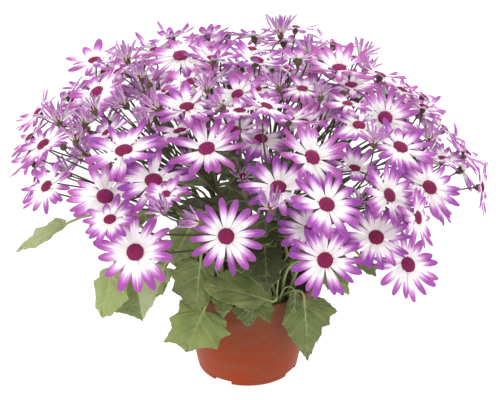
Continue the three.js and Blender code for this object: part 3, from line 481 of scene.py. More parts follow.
def route_stalks(sprays):
    """Each stalk takes the first route that is clear of the other sprays and pierces fewest blooms."""
    blooms, centres, faces = all_blooms(sprays)
    radii = np.array([b.radius for b in blooms])
    starts = np.vstack([s.path[:-1] for s in sprays])
    ends = np.vstack([s.path[1:] for s in sprays])
    thick = np.full(len(starts), float(STEM["radius"]))
    owner = np.repeat(np.arange(len(sprays)), [len(s.path) - 1 for s in sprays])

    def faults(path, own, bloom):
        near = np.full(len(starts), np.inf)
        through = np.zeros(len(blooms), bool)
        for a, b in zip(path[:-1], path[1:]):
            near = np.minimum(near, gaps_to((a, b), starts, ends))
            drop = (a - b) @ faces.T
            part = ((a - centres) * faces).sum(axis=1) / np.where(drop == 0, 1e-12, drop)
            hit = a + part[:, None] * (b - a)
            through |= (part > 0) & (part < 1) & (np.linalg.norm(hit - centres, axis=1) < radii)
        through &= [b is not bloom for b in blooms]
        too_close = np.sum((owner != own) & (near < thick + STALK_RADIUS + 2 * CLEAR))
        crossing = np.sum((owner == own) & (thick == STALK_RADIUS) & (near < 2 * STALK_RADIUS))
        return 100 * too_close + np.sum(through) + 0.5 * crossing

    for own, spray in enumerate(sprays):
        spray.blooms.sort(key=lambda b: b.centre[2])
        for n, bloom in enumerate(spray.blooms):
            shares = [(n + 0.5) / len(spray.blooms) + slide for slide in STALK_SLIDES]
            routes = [(along_crotch(spray.path, share), bend_share) for bend_share in STALK_BENDS
                      for share in shares if 0.02 <= share <= 0.98]
            route = min(routes, key=lambda route: faults(stalk_curve(bloom, *route, 2), own, bloom))
            path, bloom.curve = stalk_curve(bloom, *route, 2), stalk_curve(bloom, *route, 9)
            starts, ends = np.vstack([starts, path[:-1]]), np.vstack([ends, path[1:]])
            thick, owner = np.append(thick, [STALK_RADIUS] * 2), np.append(owner, [own] * 2)


def has_room(bloom, other):
    gap = np.linalg.norm(bloom.centre - other.centre) / (bloom.radius + other.radius)
    return gap > FILLERS["spacing"] and (gap > FILLERS["apart"] or not tangled(bloom, other))


def filler_blooms(blooms):
    """Smaller blooms in the gaps just under the dome's surface."""
    draw = random_draws(FILLERS["seed"])
    lowest = 1 - math.cos(math.radians(FILLERS["lowest_back"]))
    fillers = []
    for k in range(FILLERS["tries"]):
        fall = math.acos(1 - (k + 0.5) / FILLERS["tries"] * lowest)
        bearing = (golden_turn(k) + math.pi) % TAU - math.pi
        depth, radius = between(draw, *FILLERS["depths"]), between(draw, *FILLERS["radii"])
        turned = bearing + jitter(draw, 0.6)
        in_front = abs(math.degrees(bearing)) < FILLERS["front_bearing"]
        if in_front and math.degrees(fall) > FILLERS["lowest_front"]:
            continue
        on_crown = math.degrees(fall) < FILLERS["crown"]
        radius *= FILLERS["crown_growth"] if on_crown else 1
        centre = point(DOME["spread"] * math.sin(fall) * depth, bearing,
                       DOME["centre"] + DOME["rise"] * math.cos(fall) * depth)
        # Those of the crown lean every way.
        tilt = point(next(draw) * (FILLERS["crown_tilt"] if on_crown else 0), next(draw) * TAU, 0)
        face = unit(point(math.sin(fall), turned, math.cos(fall) + FILLERS["upward"]) + tilt)
        bloom = Bloom("half" if k % 4 == 1 else "open", radius, centre, face, True)
        if all(has_room(bloom, other) for other in blooms + fillers):
            fillers.append(bloom)
    return fillers


def hits(curve, centres, faces):
    """Where a stalk goes through the plane of each bloom's face: the step, the bloom's number,
    and the spot off its centre."""
    height = np.einsum("ijk,jk->ij", curve[:, None] - centres, faces)
    for step, number in zip(*np.nonzero(height[:-1] * height[1:] < 0)):
        part = height[step, number] / (height[step, number] - height[step + 1, number])
        yield step + part, number, lerp(curve[step], curve[step + 1], part) - centres[number]


def steer(curve, centres, faces, radii):
    """Bends a stalk aside where it would come up through another bloom."""
    ease = np.sin(math.pi * np.linspace(0, 1, len(curve))) ** 1.5
    for _ in range(STEER["rounds"]):
        worst, move = STEER["near"], None
        for at, number, spot in hits(curve, centres, faces):
            share = np.linalg.norm(spot) / radii[number]
            pull = np.interp(at, np.arange(len(curve)), ease)
            if share < worst and pull > STEER["least_pull"]:
                worst, move = share, unit(spot) * (STEER["clear"] - share) * radii[number] / pull
        if move is None:
            break
        curve = curve + ease[:, None] * move
    return curve


def route_cost(curve, centres, faces, radii):
    """How badly a stalk shows: going through a bloom is worst, then passing in front of one,
    hanging down before it climbs, or taking a long way round."""
    away = curve[:-1, None] - centres
    height = np.einsum("ijk,jk->ij", away, faces)
    level = np.sqrt(np.maximum((away ** 2).sum(axis=2) - height ** 2, 0))
    before = np.sum((height > 1) & (height < 40) & (level < 0.9 * radii))
    through = sum(np.linalg.norm(spot) < 0.9 * radii[k] for _, k, spot in hits(curve, centres, faces))
    detour = np.linalg.norm(np.diff(curve, axis=0), axis=1).sum() - np.linalg.norm(curve[-1] - curve[0])
    return 10 * through + before + (curve[0][2] - curve[:, 2].min()) / 3 + detour / 5


def on_stem(curve, at):
    """The point of a stem's curve nearest to a point beside it."""
    ahead = curve[1:] - curve[:-1]
    part = np.clip(((at - curve[:-1]) * ahead).sum(axis=1) / (ahead ** 2).sum(axis=1), 0, 1)
    spots = curve[:-1] + part[:, None] * ahead
    return spots[np.argmin(np.linalg.norm(spots - at, axis=1))]


def part_stalks(sprays):
    """Gives each stalk the curve that shows best, from its own foot or from lower on its stem."""
    blooms, centres, faces = all_blooms(sprays)
    stems = [spray.curve for spray in sprays for _ in spray.blooms]
    radii = np.array([b.radius * (b.kind == "open") for b in blooms])
    for number, (bloom, stem) in enumerate(zip(blooms, stems)):
        shown = (radii > 0) & (np.arange(len(radii)) != number)
        others = centres[shown], faces[shown], radii[shown]
        start = on_stem(stem, bloom.curve[0])
        ease = np.linspace(1, 0, len(bloom.curve))[:, None] ** 2
        routes = [bloom.curve + ease * (start - bloom.curve[0])]
        for base in (start, stem[-3], stem[-5]):
            routes += [stalk_curve(bloom, base, bend, 9) for bend in ROUTE_BENDS]
        routes += [steer(route, *others) for route in routes]
        bloom.curve = min(routes, key=lambda route: route_cost(route, *others))


@cache
def lay_out_sprays():
    """The sprays of the frame, with the blooms and the bends that only the finished look has."""
    blooms = settle(placed_blooms(OPEN_BLOOMS, "open") + placed_blooms(HALF_OPEN_BLOOMS, "half")
                    + back_blooms() + placed_blooms(BUDS, "bud"))
    sprays = gather_sprays(blooms)
    route_stalks(sprays)
    draw = random_draws(FILLERS["seed"])
    for bloom in filler_blooms(blooms):
        spray = nearest_spray(sprays, bloom)
        bloom.curve = stalk_curve(bloom, along_crotch(spray.path, between(draw, 0.2, 0.95)), 0.4, 9)
        spray.blooms.append(bloom)
    part_stalks(sprays)
    return sprays


# ---- where the leaves are ----------------------------------------------------------

@dataclass
class Leaf:
    joint: np.ndarray
    tip: np.ndarray
    width: float
    face: np.ndarray
    bearing: float
    fold: float
    outlines: tuple = (PALMATE, PALMATE)

    def axes(self):
        along = self.tip - self.joint
        length = np.linalg.norm(along)
        along = along / length
        normal = unit(self.face - (self.face @ along) * along)
        return along, normal, np.cross(normal, along), length


def lay_out_leaves():
    leaves = []
    for number, (joint, tip, width, face, root, fold) in enumerate(PLACED_LEAVES, 1):
        leaves.append(Leaf(vec(*joint), vec(*tip), width, vec(*face), math.radians(root), fold,
                           OUTLINES.get(number, (PALMATE, PALMATE))))
    draw = random_draws(11)
    for bearings, radius, height, drop, reach, width in LEAF_RINGS:
        for bearing in map(math.radians, bearings):
            level = height + jitter(draw, 10)
            raised = RAISED_TIPS.get(len(leaves) + 1, 0)
            tip = point(radius + reach, bearing + jitter(draw, 0.2), level - drop + raised)
            leaves.append(Leaf(point(radius, bearing, level), tip, width + jitter(draw, 10),
                               point(0.6, bearing, 0.7), bearing, 0.12))
    return leaves


def lay_out_stem_leaves():
    """For each spray, its stem leaves and where on the stem each is attached."""
    draw = random_draws(41)
    grown = []
    for spray in lay_out_sprays():
        pairs = []
        for k, share in enumerate(STEM_LEAVES["places"]):
            base = spray.curve[round(share * (len(spray.curve) - 1))]
            bearing = spray.bearing + golden_turn(k) + jitter(draw, 1.2)
            joint = base + point(between(draw, 8, 18), bearing, between(draw, 3, 12))
            length = between(draw, *STEM_LEAVES["lengths"])
            tip = joint + length * unit(point(1, bearing, between(draw, -0.55, 0.35)))
            level = max(tip[2] - DOME["centre"], 0) / DOME["rise"]
            outward = math.hypot(math.hypot(tip[0], tip[1]) / DOME["spread"], level)
            face = point(between(draw, 0.1, 0.6), bearing + jitter(draw, 1.4), 0.8)
            fold = between(draw, 0.05, 0.35)
            if outward < STEM_LEAVES["reach"]:
                width = length * STEM_LEAVES["width_share"]
                pairs.append((Leaf(joint, tip, width, face, bearing, fold), base))
        grown.append(pairs)
    return grown


# ---- making meshes -----------------------------------------------------------------

def new_object(name, mesh):
    obj = bpy.data.objects.new(name, mesh)
    bpy.context.scene.collection.objects.link(obj)
    return obj


def put(mesh, name, kind, values, domain="POINT", key="value"):
    """Adds an attribute with its values."""
    mesh.attributes.new(name, kind, domain).data.foreach_set(key, values)


def smooth(mesh):
    mesh.polygons.foreach_set("use_smooth", [True] * len(mesh.polygons))
    return mesh


def poured(name, shape):
    """The plain mesh of an edit mesh, which is freed."""
    mesh = bpy.data.meshes.new(name)
    shape.to_mesh(mesh)
    shape.free()
    return mesh


def thin_sheet(name, top, thickness, uvs, values=None, merge=0.0):
    """A closed thin skin from a grid of points: rows run along it, columns across it.

    The lower face and the rim carry the mark "under", so that they can take their own finish."""
    rows, columns = top.shape[:2]
    low = top - (vec(0, 0, thickness) if np.isscalar(thickness) else thickness)
    count = rows * columns
    index = np.arange(count).reshape(rows, columns)
    quads = np.stack([index[:-1, :-1], index[1:, :-1], index[1:, 1:], index[:-1, 1:]], axis=2)
    quads = quads.reshape(-1, 4)
    rim = np.concatenate([index[:, 0], index[-1, 1:], index[-2::-1, -1], index[0, -2:0:-1]])
    ahead = np.roll(rim, -1)
    faces = np.vstack([np.hstack([quads, quads[:, ::-1] + count]).reshape(-1, 4),
                       np.stack([ahead, rim, rim + count, ahead + count], axis=1)])
    under = [False, True] * len(quads) + [True] * len(rim)
    mesh = bpy.data.meshes.new(name)
    mesh.from_pydata(np.vstack([top.reshape(-1, 3), low.reshape(-1, 3)]).tolist(), [], faces.tolist())
    put(mesh, "under", "BOOLEAN", under, "FACE")
    flat = np.vstack([uvs.reshape(-1, 2)] * 2)
    loops = np.empty(len(mesh.loops), int)
    mesh.loops.foreach_get("vertex_index", loops)
    mesh.uv_layers.new(name="UVMap").uv.foreach_set("vector", flat[loops].ravel())
    for label, value in (values or {}).items():
        put(mesh, label, "FLOAT", np.tile(value.ravel(), 2))
    smooth(mesh)
    edges = {tuple(sorted(pair)) for pair in zip(rim.tolist(), ahead.tolist())}
    edges |= {(a + count, b + count) for a, b in edges}
    put(mesh, "sharp_edge", "BOOLEAN", [tuple(sorted(edge.vertices)) in edges for edge in mesh.edges],
        "EDGE")
    if merge:
        tidy = bmesh.new()
        tidy.from_mesh(mesh)
        bmesh.ops.remove_doubles(tidy, verts=tidy.verts, dist=merge)
        tidy.to_mesh(mesh)
        tidy.free()
    return mesh


def lathe_mesh(name, profile, segments, wobble=None):
    """A closed turned form.  The profile runs from the axis to the axis, outer side first."""
    verts, faces, rings = [], [], []
    for radius, height in profile:
        if radius < 1e-6:
            rings.append([len(verts)])
            verts.append((0, 0, height))
            continue
        ring = []
        for k in range(segments):
            turn = TAU * k / segments
            r, h = (radius, height) if wobble is None else wobble(radius, height, turn)
            ring.append(len(verts))
            verts.append((r * math.cos(turn), r * math.sin(turn), h))
        rings.append(ring)
    for low, high in zip(rings, rings[1:]):
        for k in range(segments):
            n = (k + 1) % segments
            corners = (low[k % len(low)], low[n % len(low)], high[n % len(high)], high[k % len(high)])
            faces.append(tuple(dict.fromkeys(corners)))
    mesh = bpy.data.meshes.new(name)
    mesh.from_pydata(verts, [], faces)
    return smooth(mesh)


def place(at, x, z, stretch, shape, tint, hue=0, young=0):
    """A shape's place: its own x axis lies along x, and its z axis as near z as that lets it."""
    x = unit(x)
    z = unit(z - (z @ x) * x)
    return {"at": at, "axes": (x, np.cross(z, x), z), "stretch": stretch, "shape": shape, "tint": tint,
            "hue": hue, "young": young}


def points_object(name, places):
    """Loose points, each with the turn, stretch, shape number and tints of what it carries."""
    mesh = bpy.data.meshes.new(name)
    mesh.from_pydata([tuple(p["at"] * MM) for p in places], [], [])
    turns = [Matrix([list(row) for row in np.column_stack(p["axes"])]).to_quaternion() for p in places]
    put(mesh, "turn", "QUATERNION", [c for q in turns for c in q])
    put(mesh, "stretch", "FLOAT_VECTOR", [c * MM for p in places for c in p["stretch"]], key="vector")
    put(mesh, "shape", "INT", [p["shape"] for p in places])
    for tint in ("tint", "hue", "young"):
        put(mesh, tint, "FLOAT", [p[tint] for p in places])
    return new_object(name, mesh)


def lines_object(name, lines):
    """Open lines: of each its points, and the radii and tints of the stem along it."""
    verts, edges, thick, tint = [], [], [], []
    for points, radii, tints in lines:
        first = len(verts)
        verts += [tuple(p * MM) for p in points]
        edges += [(k, k + 1) for k in range(first, len(verts) - 1)]
        thick += [r * MM for r in radii]
        tint += list(tints)
    mesh = bpy.data.meshes.new(name)
    mesh.from_pydata(verts, edges, [])
    put(mesh, "thick", "FLOAT", thick)
    put(mesh, "tint", "FLOAT", tint)
    return new_object(name, mesh)


def joined_mesh(name, meshes):
    whole = bmesh.new()
    for mesh in meshes:
        whole.from_mesh(mesh)
        bpy.data.meshes.remove(mesh)
    return poured(name, whole)


def bake(obj, name, spare=()):
    """Turns an object and its modifiers into one plain mesh object, and removes the spare ones."""
    bpy.context.view_layer.update()
    graph = bpy.context.evaluated_depsgraph_get()
    mesh = bpy.data.meshes.new_from_object(obj.evaluated_get(graph), preserve_all_data_layers=True,
                                           depsgraph=graph)
    mesh.name = name
    obj.modifiers.clear()
    for old in (obj, *spare):
        bpy.data.objects.remove(old, do_unlink=True)
    for extra in ("turn", "stretch", "shape", "thick", "under"):
        if extra in mesh.attributes:
            mesh.attributes.remove(mesh.attributes[extra])
    return new_object(name, mesh)


def finish_piece(obj, nodes):
    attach(obj, BODY)
    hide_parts(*nodes)


# ---- node trees --------------------------------------------------------------------

def linear(code):
    """An sRGB hex colour as linear red, green and blue."""
    values = [int(code[k:k + 2], 16) / 255 for k in (1, 3, 5)]
    return tuple(v / 12.92 if v <= 0.04045 else ((v + 0.055) / 1.055) ** 2.4 for v in values)


def add(tree, kind, inputs=None, **settings):
    """Adds a node with its settings, and fills or links its inputs."""
    node = tree.nodes.new(kind)
    for name, value in settings.items():
        setattr(node, name, value)
    for key, value in (inputs or {}).items():
        socket = node.inputs[key]
        if isinstance(value, bpy.types.NodeSocket):
            tree.links.new(value, socket)
        else:
            socket.default_value = value
    return node


def geometry_tree(name, inputs):
    """A node group that takes geometry and these inputs: the tree, its input sockets and its end."""
    tree = bpy.data.node_groups.new(name, "GeometryNodeTree")
    tree.interface.new_socket("Geometry", in_out="INPUT", socket_type="NodeSocketGeometry")
    for label, kind, *default in inputs:
        socket = tree.interface.new_socket(label, in_out="INPUT", socket_type=kind)
        if default:
            socket.default_value = default[0]
    tree.interface.new_socket("Geometry", in_out="OUTPUT", socket_type="NodeSocketGeometry")
    given, end = tree.nodes.new("NodeGroupInput"), tree.nodes.new("NodeGroupOutput")
    return tree, given.outputs, end.inputs["Geometry"]


def use_tree(obj, tree, values):
    """Puts a tree on an object.  Inputs are set by their sockets' identifiers."""
    modifier = obj.modifiers.new(tree.name, "NODES")
    modifier.node_group = tree
    names = {item.name: item.identifier for item in tree.interface.items_tree
             if item.in_out == "INPUT" and item.name != "Geometry"}
    for name, value in values.items():
        modifier[names[name]] = value


def named(tree, name, kind):
    node = add(tree, "GeometryNodeInputNamedAttribute", {"Name": name}, data_type=kind)
    return node.outputs["Attribute"]


def points_of(tree, holder):
    return add(tree, "GeometryNodeObjectInfo", {"Object": holder}).outputs["Geometry"]


def made_real(tree, geometry):
    return add(tree, "GeometryNodeRealizeInstances", {"Geometry": geometry}).outputs["Geometry"]


def grouped(tree, group, inputs):
    return add(tree, "GeometryNodeGroup", inputs, node_tree=group).outputs["Geometry"]


def joined(tree, parts):
    join = tree.nodes.new("GeometryNodeJoinGeometry")
    for part in parts:
        tree.links.new(part, join.inputs[0])
    return join.outputs["Geometry"]


def painted(tree, geometry, material, mark=None):
    """Gives geometry a material, all over or only on the faces with a mark."""
    inputs = {"Geometry": geometry, "Material": material}
    if mark:
        inputs["Selection"] = named(tree, mark, "BOOLEAN")
    return add(tree, "GeometryNodeSetMaterial", inputs).outputs["Geometry"]


def scatter_tree():
    """Puts one of the shapes of a collection on each point, turned and stretched as the point says."""
    tree, given, end = geometry_tree("Shapes on points", [("Shapes", "NodeSocketCollection")])
    shapes = add(tree, "GeometryNodeCollectionInfo", {
        "Collection": given["Shapes"], "Separate Children": True, "Reset Children": True})
    placed = add(tree, "GeometryNodeInstanceOnPoints", {
        "Points": given["Geometry"], "Instance": shapes.outputs[0], "Pick Instance": True,
        "Instance Index": named(tree, "shape", "INT"), "Rotation": named(tree, "turn", "QUATERNION"),
        "Scale": named(tree, "stretch", "FLOAT_VECTOR")})
    tree.links.new(made_real(tree, placed.outputs["Instances"]), end)
    return tree


def tube_tree():
    """Wraps a round skin along lines, as thick as their points say."""
    tree, given, end = geometry_tree("Stems along lines", [("Sides", "NodeSocketInt", 6)])
    curve = add(tree, "GeometryNodeMeshToCurve", {"Mesh": given["Geometry"]})
    circle = add(tree, "GeometryNodeCurvePrimitiveCircle", {"Resolution": given["Sides"], "Radius": 1.0})
    tube = add(tree, "GeometryNodeCurveToMesh", {
        "Curve": curve.outputs["Curve"], "Profile Curve": circle.outputs["Curve"],
        "Scale": named(tree, "thick", "FLOAT"), "Fill Caps": True})
    rounded = add(tree, "GeometryNodeSetShadeSmooth", {"Geometry": tube.outputs["Mesh"]})
    tree.links.new(rounded.outputs["Geometry"], end)
    return tree


def spray_tree(scatter, tubes):
    """A flower spray: stems along the object's own lines, and heads on four sets of points."""
    materials = ("Stem skin", "Petal face", "Petal back", "Disc florets", "Calyx skin", "Bract face")
    parts = (("Petals", "Petal face", "Petal back"), ("Discs", "Disc florets", None),
             ("Calyces", "Calyx skin", None), ("Bracts", "Bract face", None))
    tree, given, end = geometry_tree("Flower spray", [
        ("Stem sides", "NodeSocketInt", 6),
        *((f"{part} points", "NodeSocketObject") for part, *_ in parts),
        *((f"{part} shapes", "NodeSocketCollection") for part, *_ in parts),
        *((name, "NodeSocketMaterial") for name in materials)])
    stems = grouped(tree, tubes, {"Geometry": given["Geometry"], "Sides": given["Stem sides"]})
    painted_parts = [painted(tree, stems, given["Stem skin"])]
    for part, face, back in parts:
        placed = grouped(tree, scatter, {"Geometry": points_of(tree, given[f"{part} points"]),
                                         "Shapes": given[f"{part} shapes"]})
        result = painted(tree, placed, given[face])
        if back:
            result = painted(tree, result, given[back], "under")
        painted_parts.append(result)
    tree.links.new(made_real(tree, joined(tree, painted_parts)), end)
    return tree


def leaf_tree(tubes):
    """Leaf blades with their stalks, which run on under the blades as midribs."""
    materials = ("Leaf face", "Leaf back", "Leaf stalk")
    tree, given, end = geometry_tree("Leaves on stalks", [
        ("Stalk lines", "NodeSocketObject"), ("Stalk sides", "NodeSocketInt", 8),
        *((name, "NodeSocketMaterial") for name in materials)])
    stalks = grouped(tree, tubes, {"Geometry": points_of(tree, given["Stalk lines"]),
                                   "Sides": given["Stalk sides"]})
    blades = painted(tree, given["Geometry"], given["Leaf face"])
    blades = painted(tree, blades, given["Leaf back"], "under")
    both = joined(tree, [painted(tree, stalks, given["Leaf stalk"]), blades])
    tree.links.new(made_real(tree, both), end)
    return tree


def shape_collection(name, meshes):
    """A hidden collection of shapes, in the order of their numbered names."""
    collection = bpy.data.collections.new(name)
    for k, mesh in enumerate(meshes):
        collection.objects.link(bpy.data.objects.new(f"{name}_{k:02d}", mesh))
    return collection


def clear_shapes(collections):
    for collection in collections:
        for obj in list(collection.objects):
            bpy.data.objects.remove(obj, do_unlink=True)
        bpy.data.collections.remove(collection)


# ---- materials ---------------------------------------------------------------------

def make_material(name, finish, *values):
    """A material of one shader.  Its finish adds the nodes and gives what the shader's sockets take."""
    material = bpy.data.materials.new(name)
    material.use_nodes = True
    tree = material.node_tree
    tree.nodes.clear()
    shader = add(tree, "ShaderNodeBsdfPrincipled", finish(tree, *values))
    add(tree, "ShaderNodeOutputMaterial", {"Surface": shader.outputs["BSDF"]})
    return material


def maths(tree, operation, a, b=0.0, c=0.0, clamp=False):
    return add(tree, "ShaderNodeMath", {0: a, 1: b, 2: c}, operation=operation, use_clamp=clamp).outputs[0]


def times(tree, a, b):
    return maths(tree, "MULTIPLY", a, b)


def times_plus(tree, a, b, c, clamp=False):
    return maths(tree, "MULTIPLY_ADD", a, b, c, clamp)


def minus(tree, a, b, clamp=False):
    return maths(tree, "SUBTRACT", a, b, clamp=clamp)


def mix_colours(tree, share, a, b, blend="MIX"):
    a, b = (value if isinstance(value, bpy.types.NodeSocket) else (*value, 1) for value in (a, b))
    node = add(tree, "ShaderNodeMix", {"Factor": share, 6: a, 7: b}, data_type="RGBA", blend_type=blend)
    return node.outputs[2]


def ramp(tree, share, stops):
    node = add(tree, "ShaderNodeValToRGB", {"Fac": share})
    while len(node.color_ramp.elements) < len(stops):
        node.color_ramp.elements.new(0.5)
    for element, (stop, colour) in zip(node.color_ramp.elements, stops):
        element.position = stop
        element.color = (*colour, 1)
    return node.outputs["Color"]


def attribute(tree, name):
    return add(tree, "ShaderNodeAttribute", attribute_name=name).outputs["Fac"]


def object_place(tree):
    return add(tree, "ShaderNodeTexCoord").outputs["Object"]


def object_noise(tree, size_mm, detail=3.0, roughness=0.5, stretch=(1, 1, 1)):
    """Noise on Object coordinates whose features are about size_mm across."""
    scaled = add(tree, "ShaderNodeMapping", {"Vector": object_place(tree), "Scale": stretch})
    return add(tree, "ShaderNodeTexNoise", {
        "Vector": scaled.outputs["Vector"], "Scale": 1 / (size_mm * MM), "Detail": detail,
        "Roughness": roughness}).outputs["Fac"]


def bump(tree, height, depth_mm):
    return add(tree, "ShaderNodeBump", {
        "Height": height, "Strength": 1.0, "Distance": depth_mm * MM}).outputs["Normal"]


def petal_finish(tree, white, pale, tip, pink_tip, quill, cream, back):
    """Ray florets: thin living tissue, matt and slightly velvety, white from the disc out and
    flushed violet at the tip in fine streaks that run along the petal."""
    uv = add(tree, "ShaderNodeUVMap", uv_map="UVMap").outputs["UV"]
    parts = add(tree, "ShaderNodeSeparateXYZ", {"Vector": uv})
    along, across = parts.outputs["X"], parts.outputs["Y"]
    tint, hue, young = (attribute(tree, label) for label in ("tint", "hue", "young"))
    # Some seven streaks across a petal 8 mm wide: finer ones, as real veins are, would be lost.
    streaks = add(tree, "ShaderNodeCombineXYZ", {
        "X": times(tree, along, 1.3), "Y": times(tree, across, 7.0),
        "Z": times(tree, tint, 60.0)}).outputs["Vector"]
    streak = add(tree, "ShaderNodeTexNoise", {"Vector": streaks, "Scale": 1.0, "Detail": 2.0}).outputs["Fac"]
    # The flush starts sooner along the edges, most of all on young rolled petals.
    reach = times_plus(tree, streak, 0.36, times_plus(tree, tint, 0.2, 0.2))
    reach = times_plus(tree, young, 0.08, reach)
    side = maths(tree, "ABSOLUTE", minus(tree, across, 0.5))
    edge = times(tree, side, times_plus(tree, young, 0.55, 0.35))
    flush = maths(tree, "ADD", edge, minus(tree, along, reach))
    flush = maths(tree, "DIVIDE", flush, 0.42, clamp=True)
    bluer = (tip[0] * 0.72, tip[1] * 0.75, tip[2] * 1.0)
    pinker = tuple(c * 0.9 for c in pink_tip)
    violet = ramp(tree, flush, [(0.0, white), (0.3, pale), (0.75, tip), (1.0, bluer)])
    rose = ramp(tree, flush, [(0.0, white), (0.3, pale), (0.8, pink_tip), (1.0, pinker)])
    # No two petals of a head have quite the same hue.
    own_hue = times_plus(tree, minus(tree, tint, 0.5), 0.3, hue, clamp=True)
    colour = mix_colours(tree, own_hue, violet, rose)
    # Two creases run the length of each petal, between fine lines: the creases are painted darker towards the
    # tip colour, as painted shade.
    crease_painted_shade = maths(tree, "ABSOLUTE", maths(tree, "COSINE", times(tree, across, 3 * math.pi)))
    crease_painted_shade = maths(tree, "POWER", crease_painted_shade, 6.0)
    lines = maths(tree, "SINE", times(tree, across, 44.0))
    colour = mix_colours(tree, times(tree, crease_painted_shade, 0.2), colour, tip, "MULTIPLY")
    colour = mix_colours(tree, times(tree, young, 0.36), colour, quill)
    # Cream shows at the foot, above all on rolled petals.
    foot = times_plus(tree, along, -2.8, 1.3, clamp=True)
    colour = mix_colours(tree, times(tree, times_plus(tree, young, 0.75, 0.1), foot), colour, cream)
    if back:
        colour = mix_colours(tree, 0.08, colour, pale)
    return {"Base Color": colour, "Roughness": 0.6, "Normal": bump(tree, lines, 0.06), "IOR": 1.4,
            "Specular IOR Level": 0.25, "Subsurface Weight": 0.5, "Subsurface Scale": 0.003,
            "Subsurface Radius": (1.0, 0.65, 1.0), "Sheen Weight": 0.06}


def disc_finish(tree, dark, bright, pink):
    """Disc florets: packed closed buds, waxy, crimson with darker gaps between them."""
    grain_and_shade, hue = attribute(tree, "grain_and_shade"), attribute(tree, "hue")
    # Low values at the floret feet and on the disc between them are painted shade; the caps' values vary at
    # random.
    colour = mix_colours(tree, grain_and_shade, dark, mix_colours(tree, hue, bright, pink))
    return {"Base Color": colour, "Roughness": 0.6, "Normal": bump(tree, object_noise(tree, 0.8), 0.15),
            "IOR": 1.4, "Specular IOR Level": 0.3}


def stem_finish(tree, upper, lower, pale):
    """Fleshy stems with fine hair: flushed dark purple under the blooms, grey-green below."""
    patches = object_noise(tree, 14, stretch=(1, 1, 0.4))
    share = times_plus(tree, patches, 0.5, minus(tree, attribute(tree, "tint"), 0.25), clamp=True)
    colour = mix_colours(tree, share, lower, upper)
    colour = mix_colours(tree, times(tree, object_noise(tree, 2.5), 0.35), colour, pale)
    hair = bump(tree, object_noise(tree, 0.6, stretch=(1, 1, 0.2)), 0.12)
    return {"Base Color": colour, "Roughness": 0.6, "Normal": hair, "IOR": 1.4, "Sheen Weight": 0.06,
            "Specular IOR Level": 0.3}


def leaf_finish(tree, light, dark, vein, fine):
    """A soft leaf: dull and faintly downy, puckered between veins that show paler."""
    tint, veins = attribute(tree, "tint"), attribute(tree, "vein")
    share = times_plus(tree, object_noise(tree, 16, 4.0), 1.1, minus(tree, tint, 0.55), clamp=True)
    colour = mix_colours(tree, share, dark, light)
    # Beyond 1 the tint turns a leaf paler, towards the colour of its veins.
    colour = mix_colours(tree, minus(tree, tint, 1.0, clamp=True), colour, vein)
    # The net of small veins has meshes of about 2.6 mm.
    net = add(tree, "ShaderNodeTexVoronoi", {"Vector": object_place(tree), "Scale": 1 / (2.6 * MM)},
              feature="DISTANCE_TO_EDGE").outputs["Distance"]
    net = minus(tree, 1.0, maths(tree, "MULTIPLY", net, 7.0, clamp=True), clamp=True)
    colour = mix_colours(tree, times(tree, net, fine), colour, vein)
    # Main veins show about a millimetre wide.
    line = minus(tree, 1.0, maths(tree, "DIVIDE", veins, 0.7 * MM), clamp=True)
    colour = mix_colours(tree, times(tree, line, 0.36), colour, vein)
    height = minus(tree, times(tree, object_noise(tree, 5), 0.8), times(tree, net, 0.25))
    return {"Base Color": colour, "Roughness": 0.58, "Normal": bump(tree, height, 0.8), "IOR": 1.42,
            "Subsurface Weight": 0.15, "Subsurface Scale": 0.001, "Subsurface Radius": (0.5, 1.0, 0.3),
            "Sheen Weight": 0.08, "Sheen Roughness": 0.6}


def pot_finish(tree, clay_with_painted_shade, dusty, deep):
    """Injection-moulded polypropylene, terracotta-coloured: satin, with faint rings from the
    mould, a dusty bloom and water marks in soft patches."""
    cloud = object_noise(tree, 34, 4.0, 0.6, (1, 1, 3))
    fine = object_noise(tree, 3, 5.0, 0.6)
    height = add(tree, "ShaderNodeSeparateXYZ", {"Vector": object_place(tree)}).outputs["Z"]
    # The wall is painted darker and browner from the foot up to the rim, as painted shade under the leaves.
    lift = maths(tree, "DIVIDE", height, POT["height"] * MM, clamp=True)
    colour = mix_colours(tree, lift, deep, clay_with_painted_shade)
    dust = times_plus(tree, cloud, 2.4, -0.85, clamp=True)
    colour = mix_colours(tree, times(tree, dust, times_plus(tree, fine, 0.6, 0.1)), colour, dusty)
    # Mould rings stand about 3 mm apart.
    rings = maths(tree, "SINE", times(tree, height, TAU / (3.0 * MM)))
    return {"Base Color": colour, "Roughness": times_plus(tree, cloud, 0.2, 0.42),
            "Normal": bump(tree, times_plus(tree, rings, 0.25, fine), 0.08), "IOR": 1.49,
            "Specular IOR Level": 0.1, "Sheen Weight": 0.1, "Sheen Roughness": 0.4}


def soil_finish(tree, dark, bark, fleck):
    """Moist peat and bark: near black crumbs with brown fibres and pale grit."""
    crumbs = object_noise(tree, 4, 6.0, 0.7)
    colour = ramp(tree, crumbs, [(0.3, dark), (0.6, bark), (0.72, fleck)])
    return {"Base Color": colour, "Roughness": 0.9,
            "Normal": bump(tree, object_noise(tree, 1.5, 5.0, 0.7), 0.8)}


def floor_finish(tree, colour, glow):
    """A light table of frosted acrylic, lit from below so that shadows on it nearly vanish."""
    tone = mix_colours(tree, times(tree, object_noise(tree, 400), 0.04), colour, (0.8, 0.8, 0.8))
    return {"Base Color": tone, "Roughness": 0.9, "Emission Color": (1, 1, 1, 1), "Emission Strength": glow}


# ---- pot and soil ------------------------------------------------------------------

def pot_radius_at(height):
    return lerp(POT["base_radius"], POT["rim_radius"] - LIP["proud"], height / POT["height"])


def on_wall(height, inset=0.0):
    """A point of the pot's profile, this far in from the wall's outer face."""
    return pot_radius_at(height) - inset, height


